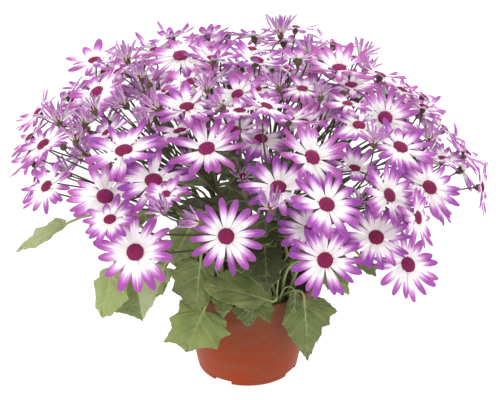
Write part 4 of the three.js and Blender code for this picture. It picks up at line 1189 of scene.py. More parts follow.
def pot_profile():
    wall, top, base, rim = POT["wall"], POT["height"], POT["base_radius"], POT["rim_radius"]
    foot, pad, ring = FOOT["height"], FOOT["pad_radius"], FOOT["inner_radius"]
    lip_foot, floor_top, chamfer = top - LIP["height"], foot + wall, LIP["chamfer"]
    profile = [
        # The pad under the middle, the raised floor round it and the foot ring.
        (0, 0), (pad - 0.5, 0), (pad, 0.4), (pad + 1, foot),
        (ring - 0.5, foot), (ring, 0.4), (ring + 0.5, 0), (base - 0.6, 0), (base, 0.6),
        # A shallow groove sets the foot off from the wall.
        on_wall(foot), on_wall(foot + 0.4, 0.45), on_wall(foot + 1.2, 0.45), on_wall(foot + 1.8),
        *map(on_wall, (20, 40, 60, 78)),
        # The lip.
        on_wall(lip_foot), (rim - 0.2, lip_foot + 0.6), (rim, lip_foot + 1), (rim, top - chamfer),
        (rim - 0.2, top - 0.15), (rim - chamfer, top), (rim - wall + 0.4, top), (rim - wall, top - 0.4),
        # Down inside.
        on_wall(60, wall), on_wall(floor_top + 1, wall), on_wall(floor_top, wall + 1),
        (pad - 1, floor_top), (pad - wall, wall), (0, wall)]
    return [(r * MM, h * MM) for r, h in profile]


def pot_cutters():
    """The drain holes in the floor and the gaps in the foot ring."""
    cut = bmesh.new()
    radius = DRAIN["radius"] * MM
    for k in range(DRAIN["count"]):
        at = point(DRAIN["ring"], TAU * k / DRAIN["count"], FOOT["height"] + POT["wall"] / 2) * MM
        bmesh.ops.create_cone(cut, cap_ends=True, segments=32, radius1=radius, radius2=radius,
                              depth=3 * POT["wall"] * MM, matrix=Matrix.Translation(Vector(at)))
    depth = POT["base_radius"] - FOOT["inner_radius"]
    size = Matrix.Diagonal((FOOT["gap_width"] * MM, 3 * depth * MM, 2 * (FOOT["height"] - 0.1) * MM, 1))
    for bearing in map(math.radians, FOOT_GAPS):
        spot = Matrix.Translation(Vector(point(POT["base_radius"], bearing, 0) * MM))
        bmesh.ops.create_cube(cut, size=1, matrix=spot @ Matrix.Rotation(bearing, 4, "Z") @ size)
    return poured("pot_cutters", cut)


def soil_mesh():
    """The plug of soil in the pot, with a crumbled top that is a little higher in the middle."""
    gap = POT["wall"] + 0.5
    outer = pot_radius_at(SOIL_TOP) - gap
    profile = [(0, 2.4), (21, 2.4), (22, 6.4), (pot_radius_at(7) - gap, 6.4), (outer, SOIL_TOP - 1)]
    profile += [(outer * share, SOIL_TOP + SOIL_RISE * (1 - share))
                for share in (0.97, 0.9, 0.8, 0.7, 0.6, 0.5, 0.4, 0.3, 0.2, 0.1)]
    profile.append((0, SOIL_TOP + SOIL_RISE))

    def crumble(radius, height, turn):
        if height < (SOIL_TOP - 2) * MM:
            return radius, height
        at = Vector((radius * math.cos(turn), radius * math.sin(turn), 0))
        return radius, height + (noise.noise(at * 160) * 1.6 + noise.noise(at * 520) * 0.9) * MM

    return lathe_mesh("soil", [(r * MM, h * MM) for r, h in profile], 72, crumble)


def crumb_shape(number):
    """A rough flattened lump, 1 in radius."""
    lump = bmesh.new()
    bmesh.ops.create_icosphere(lump, subdivisions=2, radius=1)
    for vert in lump.verts:
        vert.co *= 0.72 + 0.55 * noise.noise(vert.co * 1.4 + Vector((7.3 * number, 0, 0)))
        vert.co.z *= 0.7
    return poured(f"crumb_{number}", lump)


def crumb_places(count, seed):
    draw = random_draws(seed)
    places = []
    for _ in range(count):
        radius = (pot_radius_at(SOIL_TOP) - POT["wall"] - 3) * math.sqrt(next(draw))
        turn, spin = next(draw) * TAU, next(draw) * TAU
        size = 0.7 + 1.9 * next(draw) ** 2
        at = point(radius, turn, SOIL_TOP + SOIL_RISE * (1 - radius / 60) + 0.3)
        places.append(place(at, vec(math.cos(spin), math.sin(spin), 0), vec(0, 0, 1),
                            (size, size * 0.8, size), int(next(draw) * CRUMB_SHAPES), next(draw)))
    return places


# ---- parts of a bloom --------------------------------------------------------------

# Share of the petal's length, share of half its width.
PETAL_OUTLINE = ((0, 0.42), (0.14, 0.56), (0.32, 0.78), (0.5, 0.95), (0.68, 1.0), (0.83, 0.87),
                 (0.94, 0.58), (1.0, 0.2))
PETAL_COLUMNS = (-1, -0.5, 0, 0.5, 1)
# How wide a petal is for its length, which a twist needs, and how thick.
PETAL_SLENDER, PETAL_THICKNESS = 0.13, 0.014
# Bend, twist in degrees, sway and sag of the edges, as shares of the length.
OPEN_PETALS = (
    (0.05, 6, 0.02, 0.02), (-0.08, -8, -0.03, 0.03), (0.12, 4, 0.0, 0.015), (-0.17, 10, 0.05, 0.035),
    (0.0, -15, -0.05, 0.02), (-0.04, 2, 0.03, 0.04), (0.18, 12, -0.02, 0.01), (-0.1, -3, 0.0, 0.05))
# Bend, twist, sway and how far the edges roll in, in radians.
ROLLED_PETALS = ((0.12, 5, 0.03, 2.4), (-0.1, -10, -0.05, 2.1), (0.24, 12, 0.06, 2.7),
                 (0.02, 0, 0.0, 1.7), (0.4, 8, -0.04, 2.2))
# The two rows of a half-open head: how many petals, how steep they stand in degrees, the
# share of the full length, and how far from the middle they are rooted.
ROLLED_ROWS = ((9, 45, 1.0, 0.17), (7, 65, 0.86, 0.11))
# Where a petal is rooted, and the radii of disc and calyx, as shares of the bloom's radius.
PETAL_ROOT = 0.15
DISC_SHARE = {"open": 0.212, "half": 0.18}
CUP_SHARE, LEAST_CUP = 0.135, 2.6
BUD_STRETCH = (2.9, 2.9, 2.9)
# How much higher or lower a petal may point, in degrees, to miss another bloom's disc.
PETAL_DODGES = (0, 14, -14, 26, -26, 38)
CALYX_TEETH = 9
CUP_PROFILE = ((0, -1.05), (0.62, -0.86), (0.95, -0.55), (1.0, -0.2), (0.98, 0.0), (0.86, 0.0), (0, -0.1))
BUD_PROFILE = ((0, -1.05), (0.25, -1.0), (0.8, -0.7), (1.0, -0.2), (0.92, 0.3), (0.6, 0.8),
               (0.25, 1.05), (0, 1.1))
PLAIN_DISC_PROFILE = ((0, -0.1), (1.0, -0.1), (1.04, 0.12), (0.8, 0.22), (0.56, 0.36), (0.3, 0.3), (0, 0.4))
BRACT_OUTLINE = ((0, 0.3), (0.15, 0.8), (0.4, 1.0), (0.7, 0.6), (1.0, 0.06))


def petal_shape(name, bend, twist, sway, section):
    """A petal 1 long.  section turns a place on the outline into how far across and up it lies."""
    top, uvs = [], []
    for u, half in PETAL_OUTLINE:
        turn = math.radians(twist) * u
        for v in PETAL_COLUMNS:
            y, z = section(u, half, v)
            top.append((u, y * math.cos(turn) + sway * u * u / PETAL_SLENDER,
                        z + y * PETAL_SLENDER * math.sin(turn) + bend * u * u))
            uvs.append((u, (v + 1) / 2))
    shape = (len(PETAL_OUTLINE), len(PETAL_COLUMNS))
    return thin_sheet(name, np.array(top).reshape(*shape, 3), PETAL_THICKNESS,
                      np.array(uvs).reshape(*shape, 2))


def petal_shapes():
    def open_section(sag):
        folds = {0: -0.012, 0.5: 0.01, 1: -sag}
        return lambda u, half, v: (half * v, folds[abs(v)] * half)

    def rolled_section(roll):
        def section(u, half, v):
            curl = roll * (0.55 + 0.45 * u)
            return (half * math.sin(v * curl) / curl * 0.9,
                    half * (1 - math.cos(v * curl)) / curl * PETAL_SLENDER)
        return section

    kinds = (("open", OPEN_PETALS, open_section), ("rolled", ROLLED_PETALS, rolled_section))
    return [petal_shape(f"{kind}_petal_{k}", bend, twist, sway, section(edge))
            for kind, rows, section in kinds for k, (bend, twist, sway, edge) in enumerate(rows)]


def add_floret(disc, grain_and_shade, foot, axis, out, size, tall, shade):
    """One five-sided bud on a disc, a little narrower at its foot, under a low cap."""
    side = unit(np.cross(axis, vec(-out[1], out[0], 0)))
    over = np.cross(axis, side)
    spokes = [math.cos(TAU * n / 5) * side + math.sin(TAU * n / 5) * over for n in range(5)]
    low, high = [], []
    for spoke in spokes:
        low.append(disc.verts.new(foot + spoke * size * 0.8))
        high.append(disc.verts.new(foot + axis * tall * 0.7 + spoke * size))
    cap = disc.verts.new(foot + axis * tall)
    # The foot of each floret is painted darker than its cap, as painted shade between the florets; the caps
    # vary in tone at random.
    for verts, value in ((low, 0.35), ((*high, cap), shade)):
        for vert in verts:
            vert[grain_and_shade] = value
    for n in range(5):
        m = (n + 1) % 5
        disc.faces.new((low[n], low[m], high[m], high[n]))
        disc.faces.new((high[n], high[m], cap))
    disc.faces.new(list(reversed(low)))


def disc_shape(name, florets, dome, seed, rim=0.92):
    """A domed disc packed with florets on a spiral, as in every daisy; 1 is the disc's radius."""
    draw = random_draws(seed)
    disc = bmesh.new()
    grain_and_shade = disc.verts.layers.float.new("grain_and_shade")
    sides = 16
    loops = []
    for radius, height in ((1.0, -0.1), (1.0, 0.1), (0.66, 0.62 * dome), (0.3, 0.94 * dome)):
        turns = [TAU * k / sides for k in range(sides)]
        loops.append([disc.verts.new((radius * math.cos(turn), radius * math.sin(turn), height))
                      for turn in turns])
    top = disc.verts.new((0, 0, dome))
    for low, high in zip(loops, loops[1:]):
        for k in range(sides):
            disc.faces.new((low[k], low[(k + 1) % sides], high[(k + 1) % sides], high[k]))
    for k in range(sides):
        disc.faces.new((loops[-1][k], loops[-1][(k + 1) % sides], top))
    disc.faces.new(list(reversed(loops[0])))
    # The disc under the florets is painted darker than their caps, as painted shade.
    for vert in disc.verts:
        vert[grain_and_shade] = 0.45
    for k in range(florets):
        share = math.sqrt((k + 0.5) / florets)
        turn = golden_turn(k)
        lean = share * 0.6 + jitter(draw, 0.3)
        size = 0.115 + 0.015 * next(draw)
        tall = 0.17 + 0.06 * next(draw)
        shade = 0.65 + 0.35 * next(draw)
        out = vec(math.cos(turn), math.sin(turn), 0)
        foot = out * (share * rim) + vec(0, 0, dome * (1 - share ** 2.2) - 0.08)
        add_floret(disc, grain_and_shade, foot, unit(out * lean + vec(0, 0, 1)), out, size, tall, shade)
    bmesh.ops.recalc_face_normals(disc, faces=disc.faces)
    return smooth(poured(name, disc))


def plain_disc_shape(name, seed):
    """The disc of the many smaller blooms: rough rings instead of single florets."""
    mesh = lathe_mesh(name, PLAIN_DISC_PROFILE, 12)
    draw = random_draws(seed)
    put(mesh, "grain_and_shade", "FLOAT", [between(draw, 0.4, 1) for _ in mesh.vertices])
    return mesh


def calyx_shape(name, profile, bulge):
    """A cup of narrow green scales under the petals; 1 is its radius and its depth."""
    def scales(radius, height, turn):
        wave = math.cos(CALYX_TEETH * turn)
        lift = 0.16 * max(wave, 0) if height > -0.02 else 0
        return radius * (1 + bulge * wave * (1 + height)), height + lift

    return lathe_mesh(name, profile, CALYX_TEETH * 2, scales)


def bract_shape(name, bend):
    columns = (-1, 0, 1)
    top = [[(u, half * v, bend * u * u - (0.03 if v == 0 else 0)) for v in columns]
           for u, half in BRACT_OUTLINE]
    uvs = [[(u, (v + 1) / 2) for v in columns] for u, _ in BRACT_OUTLINE]
    return thin_sheet(name, np.array(top, float), 0.03, np.array(uvs, float))


def clear_way(foot, way, face, lift, length, discs):
    """Which way a petal points: lifted or lowered as little as keeps it out of the discs of others."""
    centres, sizes = discs
    tried = []
    for more in PETAL_DODGES:
        angle = lift + math.radians(more)
        along = math.cos(angle) * way + math.sin(angle) * face
        part = np.clip((centres - foot) @ along, 0, length)
        crossed = int((np.linalg.norm(foot + part[:, None] * along - centres, axis=1) < sizes).sum())
        if not crossed:
            return along
        tried.append((crossed, len(tried), along))
    return min(tried)[2]


def open_petal_places(bloom, draw, hue, full, discs, spoke):
    radius, face = bloom.radius, bloom.face
    start = next(draw) * TAU
    count = full if radius >= 28 else full - 1 if radius >= 24 else full - 2
    count += int(next(draw) * 4) - (3 if bloom.plain else 1)
    half_width = math.pi * 0.65 * radius / count * 0.84
    # The blooms of the crown, which face straight up, are the loosest.
    loose = lerp(1, 2.6, np.clip((face[2] - 0.8) / 0.15, 0, 1))
    cupped = math.radians(between(draw, -4, 7)) * loose
    places = []
    for k in range(count):
        way = spoke(start + TAU * (k + jitter(draw, 0.6)) / count)
        lift = cupped + math.radians(between(draw, -7, 8)) * loose
        length = radius * between(draw, 0.92, 1.05) - PETAL_ROOT * radius
        foot = bloom.centre + way * radius * PETAL_ROOT + face * (0.3 if k % 2 else -0.3)
        along = clear_way(foot, way, face, lift, length, discs)
        roll = math.radians(between(draw, -6, 6)) + math.radians(4)
        up = face + math.tan(roll) * np.cross(face, way)
        wide = half_width * between(draw, 0.8, 1.22)
        shape = int(next(draw) * len(OPEN_PETALS))
        places.append(place(foot, along, up, (length, wide, length), shape, next(draw), hue))
    return places


def rolled_petal_places(bloom, draw, hue, spoke):
    radius, face = bloom.radius, bloom.face
    start = next(draw) * TAU
    places = []
    for row, (count, steep, share, root) in enumerate(ROLLED_ROWS):
        for k in range(count):
            way = spoke(start + TAU * (k + 0.5 * row + jitter(draw, 0.5)) / count)
            lift = math.radians(steep + between(draw, -14, 12))
            along = math.cos(lift) * way + math.sin(lift) * face
            foot = bloom.centre + way * radius * root - face * 0.5
            length = radius * 0.88 * share * between(draw, 0.85, 1.05)
            wide = radius * 0.1 * between(draw, 0.8, 1.2)
            shape = len(OPEN_PETALS) + int(next(draw) * len(ROLLED_PETALS))
            places.append(place(foot, along, face - way * 1.2, (length, wide, length), shape,
                                next(draw), hue, 1))
    return places


def petal_places(bloom, draw, hue, full, discs):
    """The ray florets of one head.  full is how many the widest blooms have."""
    across = side_of(bloom.face)
    over = np.cross(bloom.face, across)

    def spoke(turn):
        return math.cos(turn) * across + math.sin(turn) * over

    if bloom.kind == "open":
        return open_petal_places(bloom, draw, hue, full, discs, spoke)
    return rolled_petal_places(bloom, draw, hue, spoke) if bloom.kind == "half" else []


def head_places(bloom, draw, hue):
    """The disc and the calyx of one head."""
    centre, face, across = bloom.centre, bloom.face, side_of(bloom.face)
    if bloom.kind == "bud":
        return [], [place(centre - face * 2, across, face, BUD_STRETCH, 1, 0.9 + 0.1 * next(draw))]
    size = bloom.radius * DISC_SHARE[bloom.kind]
    cup = max(bloom.radius * CUP_SHARE, LEAST_CUP)
    shape = 1 if bloom.kind == "half" else 2 if bloom.plain else 0
    disc = place(centre + face * 0.4, across, face, (size, size, size * 0.9), shape, next(draw), hue)
    calyx = place(centre - face * 0.5, across, face, (cup, cup, CALYX), 0, next(draw), hue)
    return [disc], [calyx]


def bract_places(spray, draw):
    """Small leaves where the stalks leave the stem, and one up each stalk; some are missing."""
    places = []
    for bloom in spray.blooms:
        for step, share in ((0, 1), (3, 0.7)):
            if next(draw) < 0.35:
                continue
            at = bloom.curve[step]
            way = unit(bloom.curve[step + 1] - at)
            side = unit(np.cross(way, vec(jitter(draw, 1), jitter(draw, 1), 0.3)))
            long = between(draw, 7, 15) * share
            places.append(place(at, way + side * between(draw, 0.4, 1.1), side, (long, long * 0.14, long),
                                int(next(draw) * 2), next(draw), 0))
    return places


def stem_lines(spray):
    main = spray.curve
    count = len(main)
    lines = [(main, np.linspace(2.3, 1.35, count), np.linspace(-0.1, 0.55, count))]
    for bloom in spray.blooms:
        points = np.vstack([bloom.curve, bloom.centre - 2.5 * bloom.face])
        thin = 0.62 if bloom.radius > 15 else 0.5
        radii = np.append(np.linspace(1.05, thin, len(points) - 2), [thin * 1.4, thin * 1.6])
        lines.append((points, radii, np.linspace(0.45, 1.0, len(points))))
    return lines


# ---- leaves ------------------------------------------------------------------------

# How a tooth of the edge rises, before it drops back at its point.
TOOTH = (0, 0.2, 0.55, 1.0)
# The veins between the lobes' own are thinner, so they count as further off.  The groove over
# a vein is this deep, and fades over this width, in mm.
VEINS = {"main": 0.1, "between": 0.3, "groove": 0.45, "spread": 1.2}
# How far the blade bulges between its veins for its length, and its lumps: their height, and
# how many there are to a millimetre.
BULGE = {"share": 0.035, "longest": 40, "lumps": 1.8, "lumps_per_mm": 0.06}
# How small leaves are cut: depth and spacing of their teeth in mm, and columns of a half blade.
SMALL_CUT = (1.2, 2.6, 5)
# Old bare leaf stalks that curl over the front of the rim.
CURLED_STALKS = (
    ((25, -54, 88), (25, -58, 99), (26, -62, 118), (29, -64, 134), (34, -62, 143), (39, -56, 150)),
    ((27, -48, 80), (28, -54, 97), (30, -62, 108), (33, -67, 115), (38, -69, 116), (41, -70, 110)),
)
# The little leaf on the second of them: joint, tip, width and the way it faces.
CURLED_LEAF = ((41, -70, 111), (39, -76, 91), 10, (0.3, -1, 0.2))
# Which leaves make one piece, and how pale they are; a folded leaf has a value for each half.
LEAF_PIECES = {
    "leaves_over_rim": {1: 0.75, 3: 0.45, 4: 0.55, 5: 0.2, 6: 0.4},
    "leaves_front": {2: 0.35, 7: 0.5, 12: 0.35},
    # The first half of leaf 8 is pale grey-green and painted paler still, as painted light where the blooms
    # above shade it.
    "leaves_left": {8: (1.8, 0.5), 9: 1.15, 10: 1.6, 11: 0.5},
    "leaves_low_ring": dict.fromkeys(range(13, 19), 0.55),
    "leaves_middle_ring": dict.fromkeys(range(19, 24), 0.45),
    # The inner leaves are painted dark, as painted shade inside the plant.
    "leaves_inner": dict.fromkeys(range(24, 28), -0.1),
    "leaves_upper_ring": dict.fromkeys(range(28, 31), 0.2),
}
# The pieces that also take the stem leaves, a share of the sprays each.
STEM_LEAF_PIECES = ("leaves_inner", "leaves_upper_ring")


def rib_share(share):
    """Where the vein to a point of the edge leaves the midrib: the low lobes' veins start at the joint."""
    return max((share - 0.45) / 0.55, 0.0) ** 1.2


def toothed_edge(outline, length, half_width, tooth, spacing, seed):
    """Edge points of half a blade as (along, across) in mm, with each point's share of the way
    round, how far it is from a hollow to a lobe, and the numbers of the rows that end in lobes."""
    draw = random_draws(seed)
    deep = next(draw)
    corners = np.array([(u * length, v * half_width) for u, v in outline] + [(length, 0.0)])
    last = len(corners) - 1
    points, shares, waves, lobes = [], [], [], []
    step = 0
    for k, (a, b) in enumerate(zip(corners, corners[1:])):
        span = np.linalg.norm(b - a)
        steps = max(3, round(span / spacing))
        normal = vec(-(b - a)[1], (b - a)[0]) / span
        if normal @ ((a + b) / 2 - vec(length * 0.4, 0)) < 0:
            normal = -normal
        if k % 2:
            lobes.append(len(points))
        for n in range(steps):
            t = n / steps
            rise = TOOTH[step % len(TOOTH)] * deep if n else 0
            hollow = math.sin(math.pi * t) * (0.05 if k else -0.04) * span
            points.append(a + (b - a) * (t + 0.4 * rise / steps) + normal * (rise * tooth - hollow))
            shares.append((k + t) / last)
            waves.append((1 - t if k % 2 else t) * 2 - 1)
            step += 1
            if step % len(TOOTH) == 0:
                deep = between(draw, 0.2, 1.2)
    points.append(corners[-1])
    return np.array(points), np.array(shares + [1.0]), np.array(waves + [1.0]), lobes + [len(points) - 1]


def vein_gaps(x, y, lobes):
    """How far each point is from the midrib, from the veins that run out to the lobes, and from
    the thinner ones between them."""
    gap = y
    middles = [(a + b) // 2 for a, b in zip(lobes, lobes[1:])]
    for rows, further in ((lobes, VEINS["main"]), (middles, VEINS["between"])):
        for row in rows:
            apart = np.sqrt((x[:, :, None] - x[row]) ** 2 + (y[:, :, None] - y[row]) ** 2)
            gap = np.minimum(gap, apart.min(axis=2) + further)
    return gap


def half_blade(leaf, side, tint, seed, tooth, spacing=1.5, columns=8):
    """One half of a blade as a closed skin, puckered between its veins."""
    along, normal, across, length = leaf.axes()
    half_width = leaf.width / 2
    edge, shares, waves, lobes = toothed_edge(leaf.outlines[side < 0], length, half_width, tooth,
                                              spacing, seed)
    ribs = np.array([rib_share(share) * length for share in shares])
    # Rows run from the midrib out to the edge: x along the blade, y across it.
    t = np.linspace(0, 1, columns) ** 0.85
    x, y = ribs[:, None] * (1 - t) + edge[:, 0:1] * t, edge[:, 1:2] * t
    gap = vein_gaps(x, y, lobes)
    order = np.interp(np.arange(len(edge)), lobes, np.arange(len(lobes)))
    between_veins = np.abs(np.sin(math.pi * order))[:, None]
    u = x / length
    height = LEAF["arch"] * length * u * (1 - u) - y * leaf.fold
    height += LEAF["wave"] * leaf.width * waves[:, None] * t ** 2
    height += between_veins * np.sin(math.pi * t) * min(length, BULGE["longest"]) * BULGE["share"]
    height -= VEINS["groove"] * np.exp(-(gap / VEINS["spread"]) ** 2)
    grid = BULGE["lumps_per_mm"]
    for at in np.ndindex(x.shape):
        lump = noise.noise(Vector((x[at] * grid, side * y[at] * grid, seed * 3.1)))
        height[at] += lump * BULGE["lumps"] * min(1.0, 3 * y[at] / half_width)
    top = (leaf.joint + x[..., None] * along + side * y[..., None] * across
           + height[..., None] * normal) * MM
    uvs = np.stack([u, 0.5 + 0.5 * side * y / half_width], axis=2)
    values = {"vein": gap * MM, "tint": np.full(gap.shape, tint)}
    if side < 0:
        top, uvs = top[:, ::-1], uvs[:, ::-1]
        values = {name: value[:, ::-1] for name, value in values.items()}
    return thin_sheet("half_blade", top, normal * LEAF["thickness"] * MM, uvs, values, 2e-5)


def midrib(leaf, shares, sunk):
    """Points under the middle of a blade, at shares of its length."""
    along, normal, _, length = leaf.axes()
    return [leaf.joint + u * length * along + (LEAF["arch"] * length * u * (1 - u) - sunk) * normal
            for u in shares]


def leaf_stalk_line(leaf):
    """Up out of the soil, over the pot's rim, into the joint and on under the blade as its midrib."""
    along = leaf.axes()[0]
    bottom, top = root_points(LEAF["root_ring"], leaf.bearing)
    end = leaf.joint - 2.5 * along
    bend = end - 0.4 * np.linalg.norm(top - end) * along
    bend[2] = max(bend[2], POT["height"] + 14)
    stalk = np.vstack([bottom, quadratic(top, bend, end, 10)])
    radii = np.linspace(LEAF["stalk"], LEAF["stalk"] * 0.72, len(stalk))
    radii = np.concatenate([radii, (1.0, 0.85, 0.65, 0.45, 0.25)])
    return (np.vstack([stalk, midrib(leaf, (0.02, 0.2, 0.45, 0.7, 0.9), 0.9)]), radii,
            np.full(len(radii), 0.1))


def stem_leaf_line(leaf, base):
    along = leaf.axes()[0]
    end = leaf.joint - 2 * along
    stalk = quadratic(base, end - 0.5 * np.linalg.norm(base - end) * along, end, 4)
    return (np.vstack([stalk, midrib(leaf, (0.05, 0.4, 0.8), 0.7)]),
            (1.0, 0.95, 0.9, 0.85, 0.8, 0.65, 0.5, 0.25), np.full(8, 0.2))


def curled_stalk_line(corners):
    points = np.array(corners, float)
    for _ in range(2):
        quarter, far = lerp(points[:-1], points[1:], 0.25), lerp(points[:-1], points[1:], 0.75)
        rounded = np.stack([quarter, far], axis=1).reshape(-1, 3)
        points = np.vstack([points[:1], rounded, points[-1:]])
    return points, np.linspace(0.75, 0.3, len(points)), np.full(len(points), 0.1)


def both_halves(leaf, tint, seed, *cut):
    tints = tint if isinstance(tint, tuple) else (tint, tint)
    return [half_blade(leaf, side, own, seed, *cut) for side, own in zip((1, -1), tints)]


# ---- settings ----------------------------------------------------------------------

def swatch(name, description, code):
    return FloatVectorProperty(name=name, description=description, subtype="COLOR", size=3, min=0, max=1,
                               default=linear(code))


def amount(kind, name, description, default, least, most, **more):
    return kind(name=name, description=description, default=default, min=least, max=most, **more)


class CinerariaPotSettings(PropertyGroup):
    # The wall colour is darker than the foot colour, which paints the shade under the leaves onto the upper
    # wall.
    clay_with_painted_shade: swatch("Wall colour", "Colour of the moulded plastic near the rim", "#69351C")
    deep: swatch("Foot colour", "Colour of the moulded plastic near the foot", "#923004")
    dusty: swatch("Dust colour", "Colour of the dusty bloom on the plastic", "#74594A")
    soil: swatch("Soil colour", "Colour of the moist peat", "#1D1611")
    segments: amount(IntProperty, "Roundness", "Flats round the pot", 128, 32, 256)
    crumbs: amount(IntProperty, "Crumbs", "Loose crumbs on the soil", 240, 0, 600)


class CinerariaBloomSettings(PropertyGroup):
    petals: amount(IntProperty, "Petals", "Petals of the widest blooms", 15, 8, 20)
    florets: amount(IntProperty, "Florets", "Florets drawn in each disc", 46, 12, 80)
    white: swatch("Petal white", "Inner part of the petals", "#F5E7EE")
    pale: swatch("Petal flush", "Where the white turns", "#CB94CE")
    violet: swatch("Violet tips", "Tips of the bluer blooms", "#70278A")
    rose: swatch("Rose tips", "Tips of the pinker blooms", "#AA5294")
    quill: swatch("Young petals", "Petals still rolled up", "#A838B4")
    cream: swatch("Petal foot", "Foot of the petals", "#E6DCB4")
    crimson: swatch("Disc crimson", "Florets of most discs", "#7C1036")
    magenta: swatch("Disc magenta", "Florets of the pinker discs", "#A2266F")
    stalk_dark: swatch("Upper stalks", "Flushed stalks under the blooms", "#36261F")
    stalk_green: swatch("Lower stems", "Stems near the soil", "#4E522C")


class CinerariaLeafSettings(PropertyGroup):
    light: swatch("Light green", "Palest leaves", "#7F8C46")
    dark: swatch("Dark green", "Darkest leaves", "#3C4713")
    vein: swatch("Vein green", "Veins", "#A6AE84")
    back: swatch("Underside", "Lower faces of the leaves", "#8A9A52")
    tooth: amount(FloatProperty, "Teeth", "Depth of the teeth on the leaf edges", 0.9 * MM, 0, 3 * MM,
                  unit="LENGTH", subtype="DISTANCE")


class CinerariaStageSettings(PropertyGroup):
    floor: swatch("Table", "Colour of the light table", "#686868")
    floor_width: amount(FloatProperty, "Floor width", "Side of the square floor", 12, 2, 40, unit="LENGTH",
                        subtype="DISTANCE")
    key_power: amount(FloatProperty, "Key light", "Power of the large soft light", 31, 0, 500, unit="POWER")
    back_power: amount(FloatProperty, "Back light", "Power of the light from behind and above", 48, 0, 500,
                       unit="POWER")
    sky: amount(FloatProperty, "Room light", "Strength of the even light from all round", 0.98, 0, 5)
    glow: amount(FloatProperty, "Table glow", "Light that comes up through the table", 0.94, 0, 5)


# ---- operators ---------------------------------------------------------------------

class CINERARIA_OT_pot(Operator):
    """Make the moulded pot with its foot ring, drain holes and lip"""

    bl_idname = "cineraria.pot"
    bl_label = "Pot"

    def execute(self, context):
        settings = context.scene.cineraria_pot
        shell = new_object("pot_shell", lathe_mesh("pot_shell", pot_profile(), settings.segments))
        cutters = new_object("pot_cutters", pot_cutters())
        cut = shell.modifiers.new("Drain holes and foot gaps", "BOOLEAN")
        cut.operation, cut.solver, cut.object = "DIFFERENCE", "EXACT", cutters
        pot = bake(shell, "nursery_pot", [cutters])
        pot.data.set_sharp_from_angle(angle=math.radians(28))
        pot.data.materials.append(make_material("Moulded polypropylene", pot_finish, settings.clay_with_painted_shade,
                                                settings.dusty, settings.deep))
        finish_piece(pot, ["pot"])
        return {"FINISHED"}


class CINERARIA_OT_soil(Operator):
    """Make the soil with its crumbled top"""

    bl_idname = "cineraria.soil"
    bl_label = "Soil"

    def execute(self, context):
        settings = context.scene.cineraria_pot
        colours = (settings.soil, linear("#3A2A1E"), linear("#7A6A55"))
        points = points_object("crumb_points", crumb_places(settings.crumbs, 23))
        shapes = shape_collection("crumb", [crumb_shape(number) for number in range(CRUMB_SHAPES)])
        use_tree(points, scatter_tree(), {"Shapes": shapes})
        crumbs = bake(points, "crumbs")
        clear_shapes([shapes])
        soil = new_object("potting_soil", joined_mesh("potting_soil", [soil_mesh(), crumbs.data]))
        soil.data.materials.append(make_material("Peat and bark", soil_finish, *colours))
        smooth(soil.data)
        finish_piece(soil, ["soil"])
        return {"FINISHED"}


class CINERARIA_OT_leaves(Operator):
    """Make the toothed, puckered leaves on their stalks"""

    bl_idname = "cineraria.leaves"
    bl_label = "Leaves"

    def execute(self, context):
        settings = context.scene.cineraria_leaves
        leaves = lay_out_leaves()
        stem_leaves = lay_out_stem_leaves()
        shares = np.array_split(np.arange(SPRAYS["count"]), len(STEM_LEAF_PIECES))
        sprays_of = dict(zip(STEM_LEAF_PIECES, shares))
        tree = leaf_tree(tube_tree())
        light, vein = settings.light, settings.vein
        stalk = map(linear, ("#6B5A48", "#8C9A5E", "#B4BE8C"))
        materials = {
            "Leaf face": make_material("Leaf face", leaf_finish, light, settings.dark, vein, 0.12),
            "Leaf back": make_material("Leaf back", leaf_finish, settings.back, light, vein, 0.3),
            "Leaf stalk": make_material("Leaf stalk skin", stem_finish, *stalk),
        }
        for name, members in LEAF_PIECES.items():
            halves, lines = [], []
            for number, tint in members.items():
                leaf = leaves[number - 1]
                halves += both_halves(leaf, tint, number, settings.tooth / MM)
                lines.append(leaf_stalk_line(leaf))
            if name == "leaves_front":
                lines += [curled_stalk_line(corners) for corners in CURLED_STALKS]
                joint, tip, width, facing = CURLED_LEAF
                small = Leaf(vec(*joint), vec(*tip), width, vec(*facing), 0, 0.4, (LANCE, LANCE))
                halves += both_halves(small, -0.5, 77, *SMALL_CUT)
            for number in sprays_of.get(name, ()):
                for k, (leaf, base) in enumerate(stem_leaves[number]):
                    # Stem leaves inside the dome are painted dark, in three tones, as painted shade.
                    halves += both_halves(leaf, 0.15 * (k % 3) - 0.2, number * 7 + k, *SMALL_CUT)
                    lines.append(stem_leaf_line(leaf, base))
            blades = new_object(f"{name}_blades", joined_mesh(f"{name}_blades", halves))
            stalks = lines_object(f"{name}_stalks", lines)
            use_tree(blades, tree, {"Stalk lines": stalks, "Stalk sides": 8, **materials})
            finish_piece(bake(blades, name, [stalks]), [f"leaf_{number:02d}" for number in members])
        return {"FINISHED"}


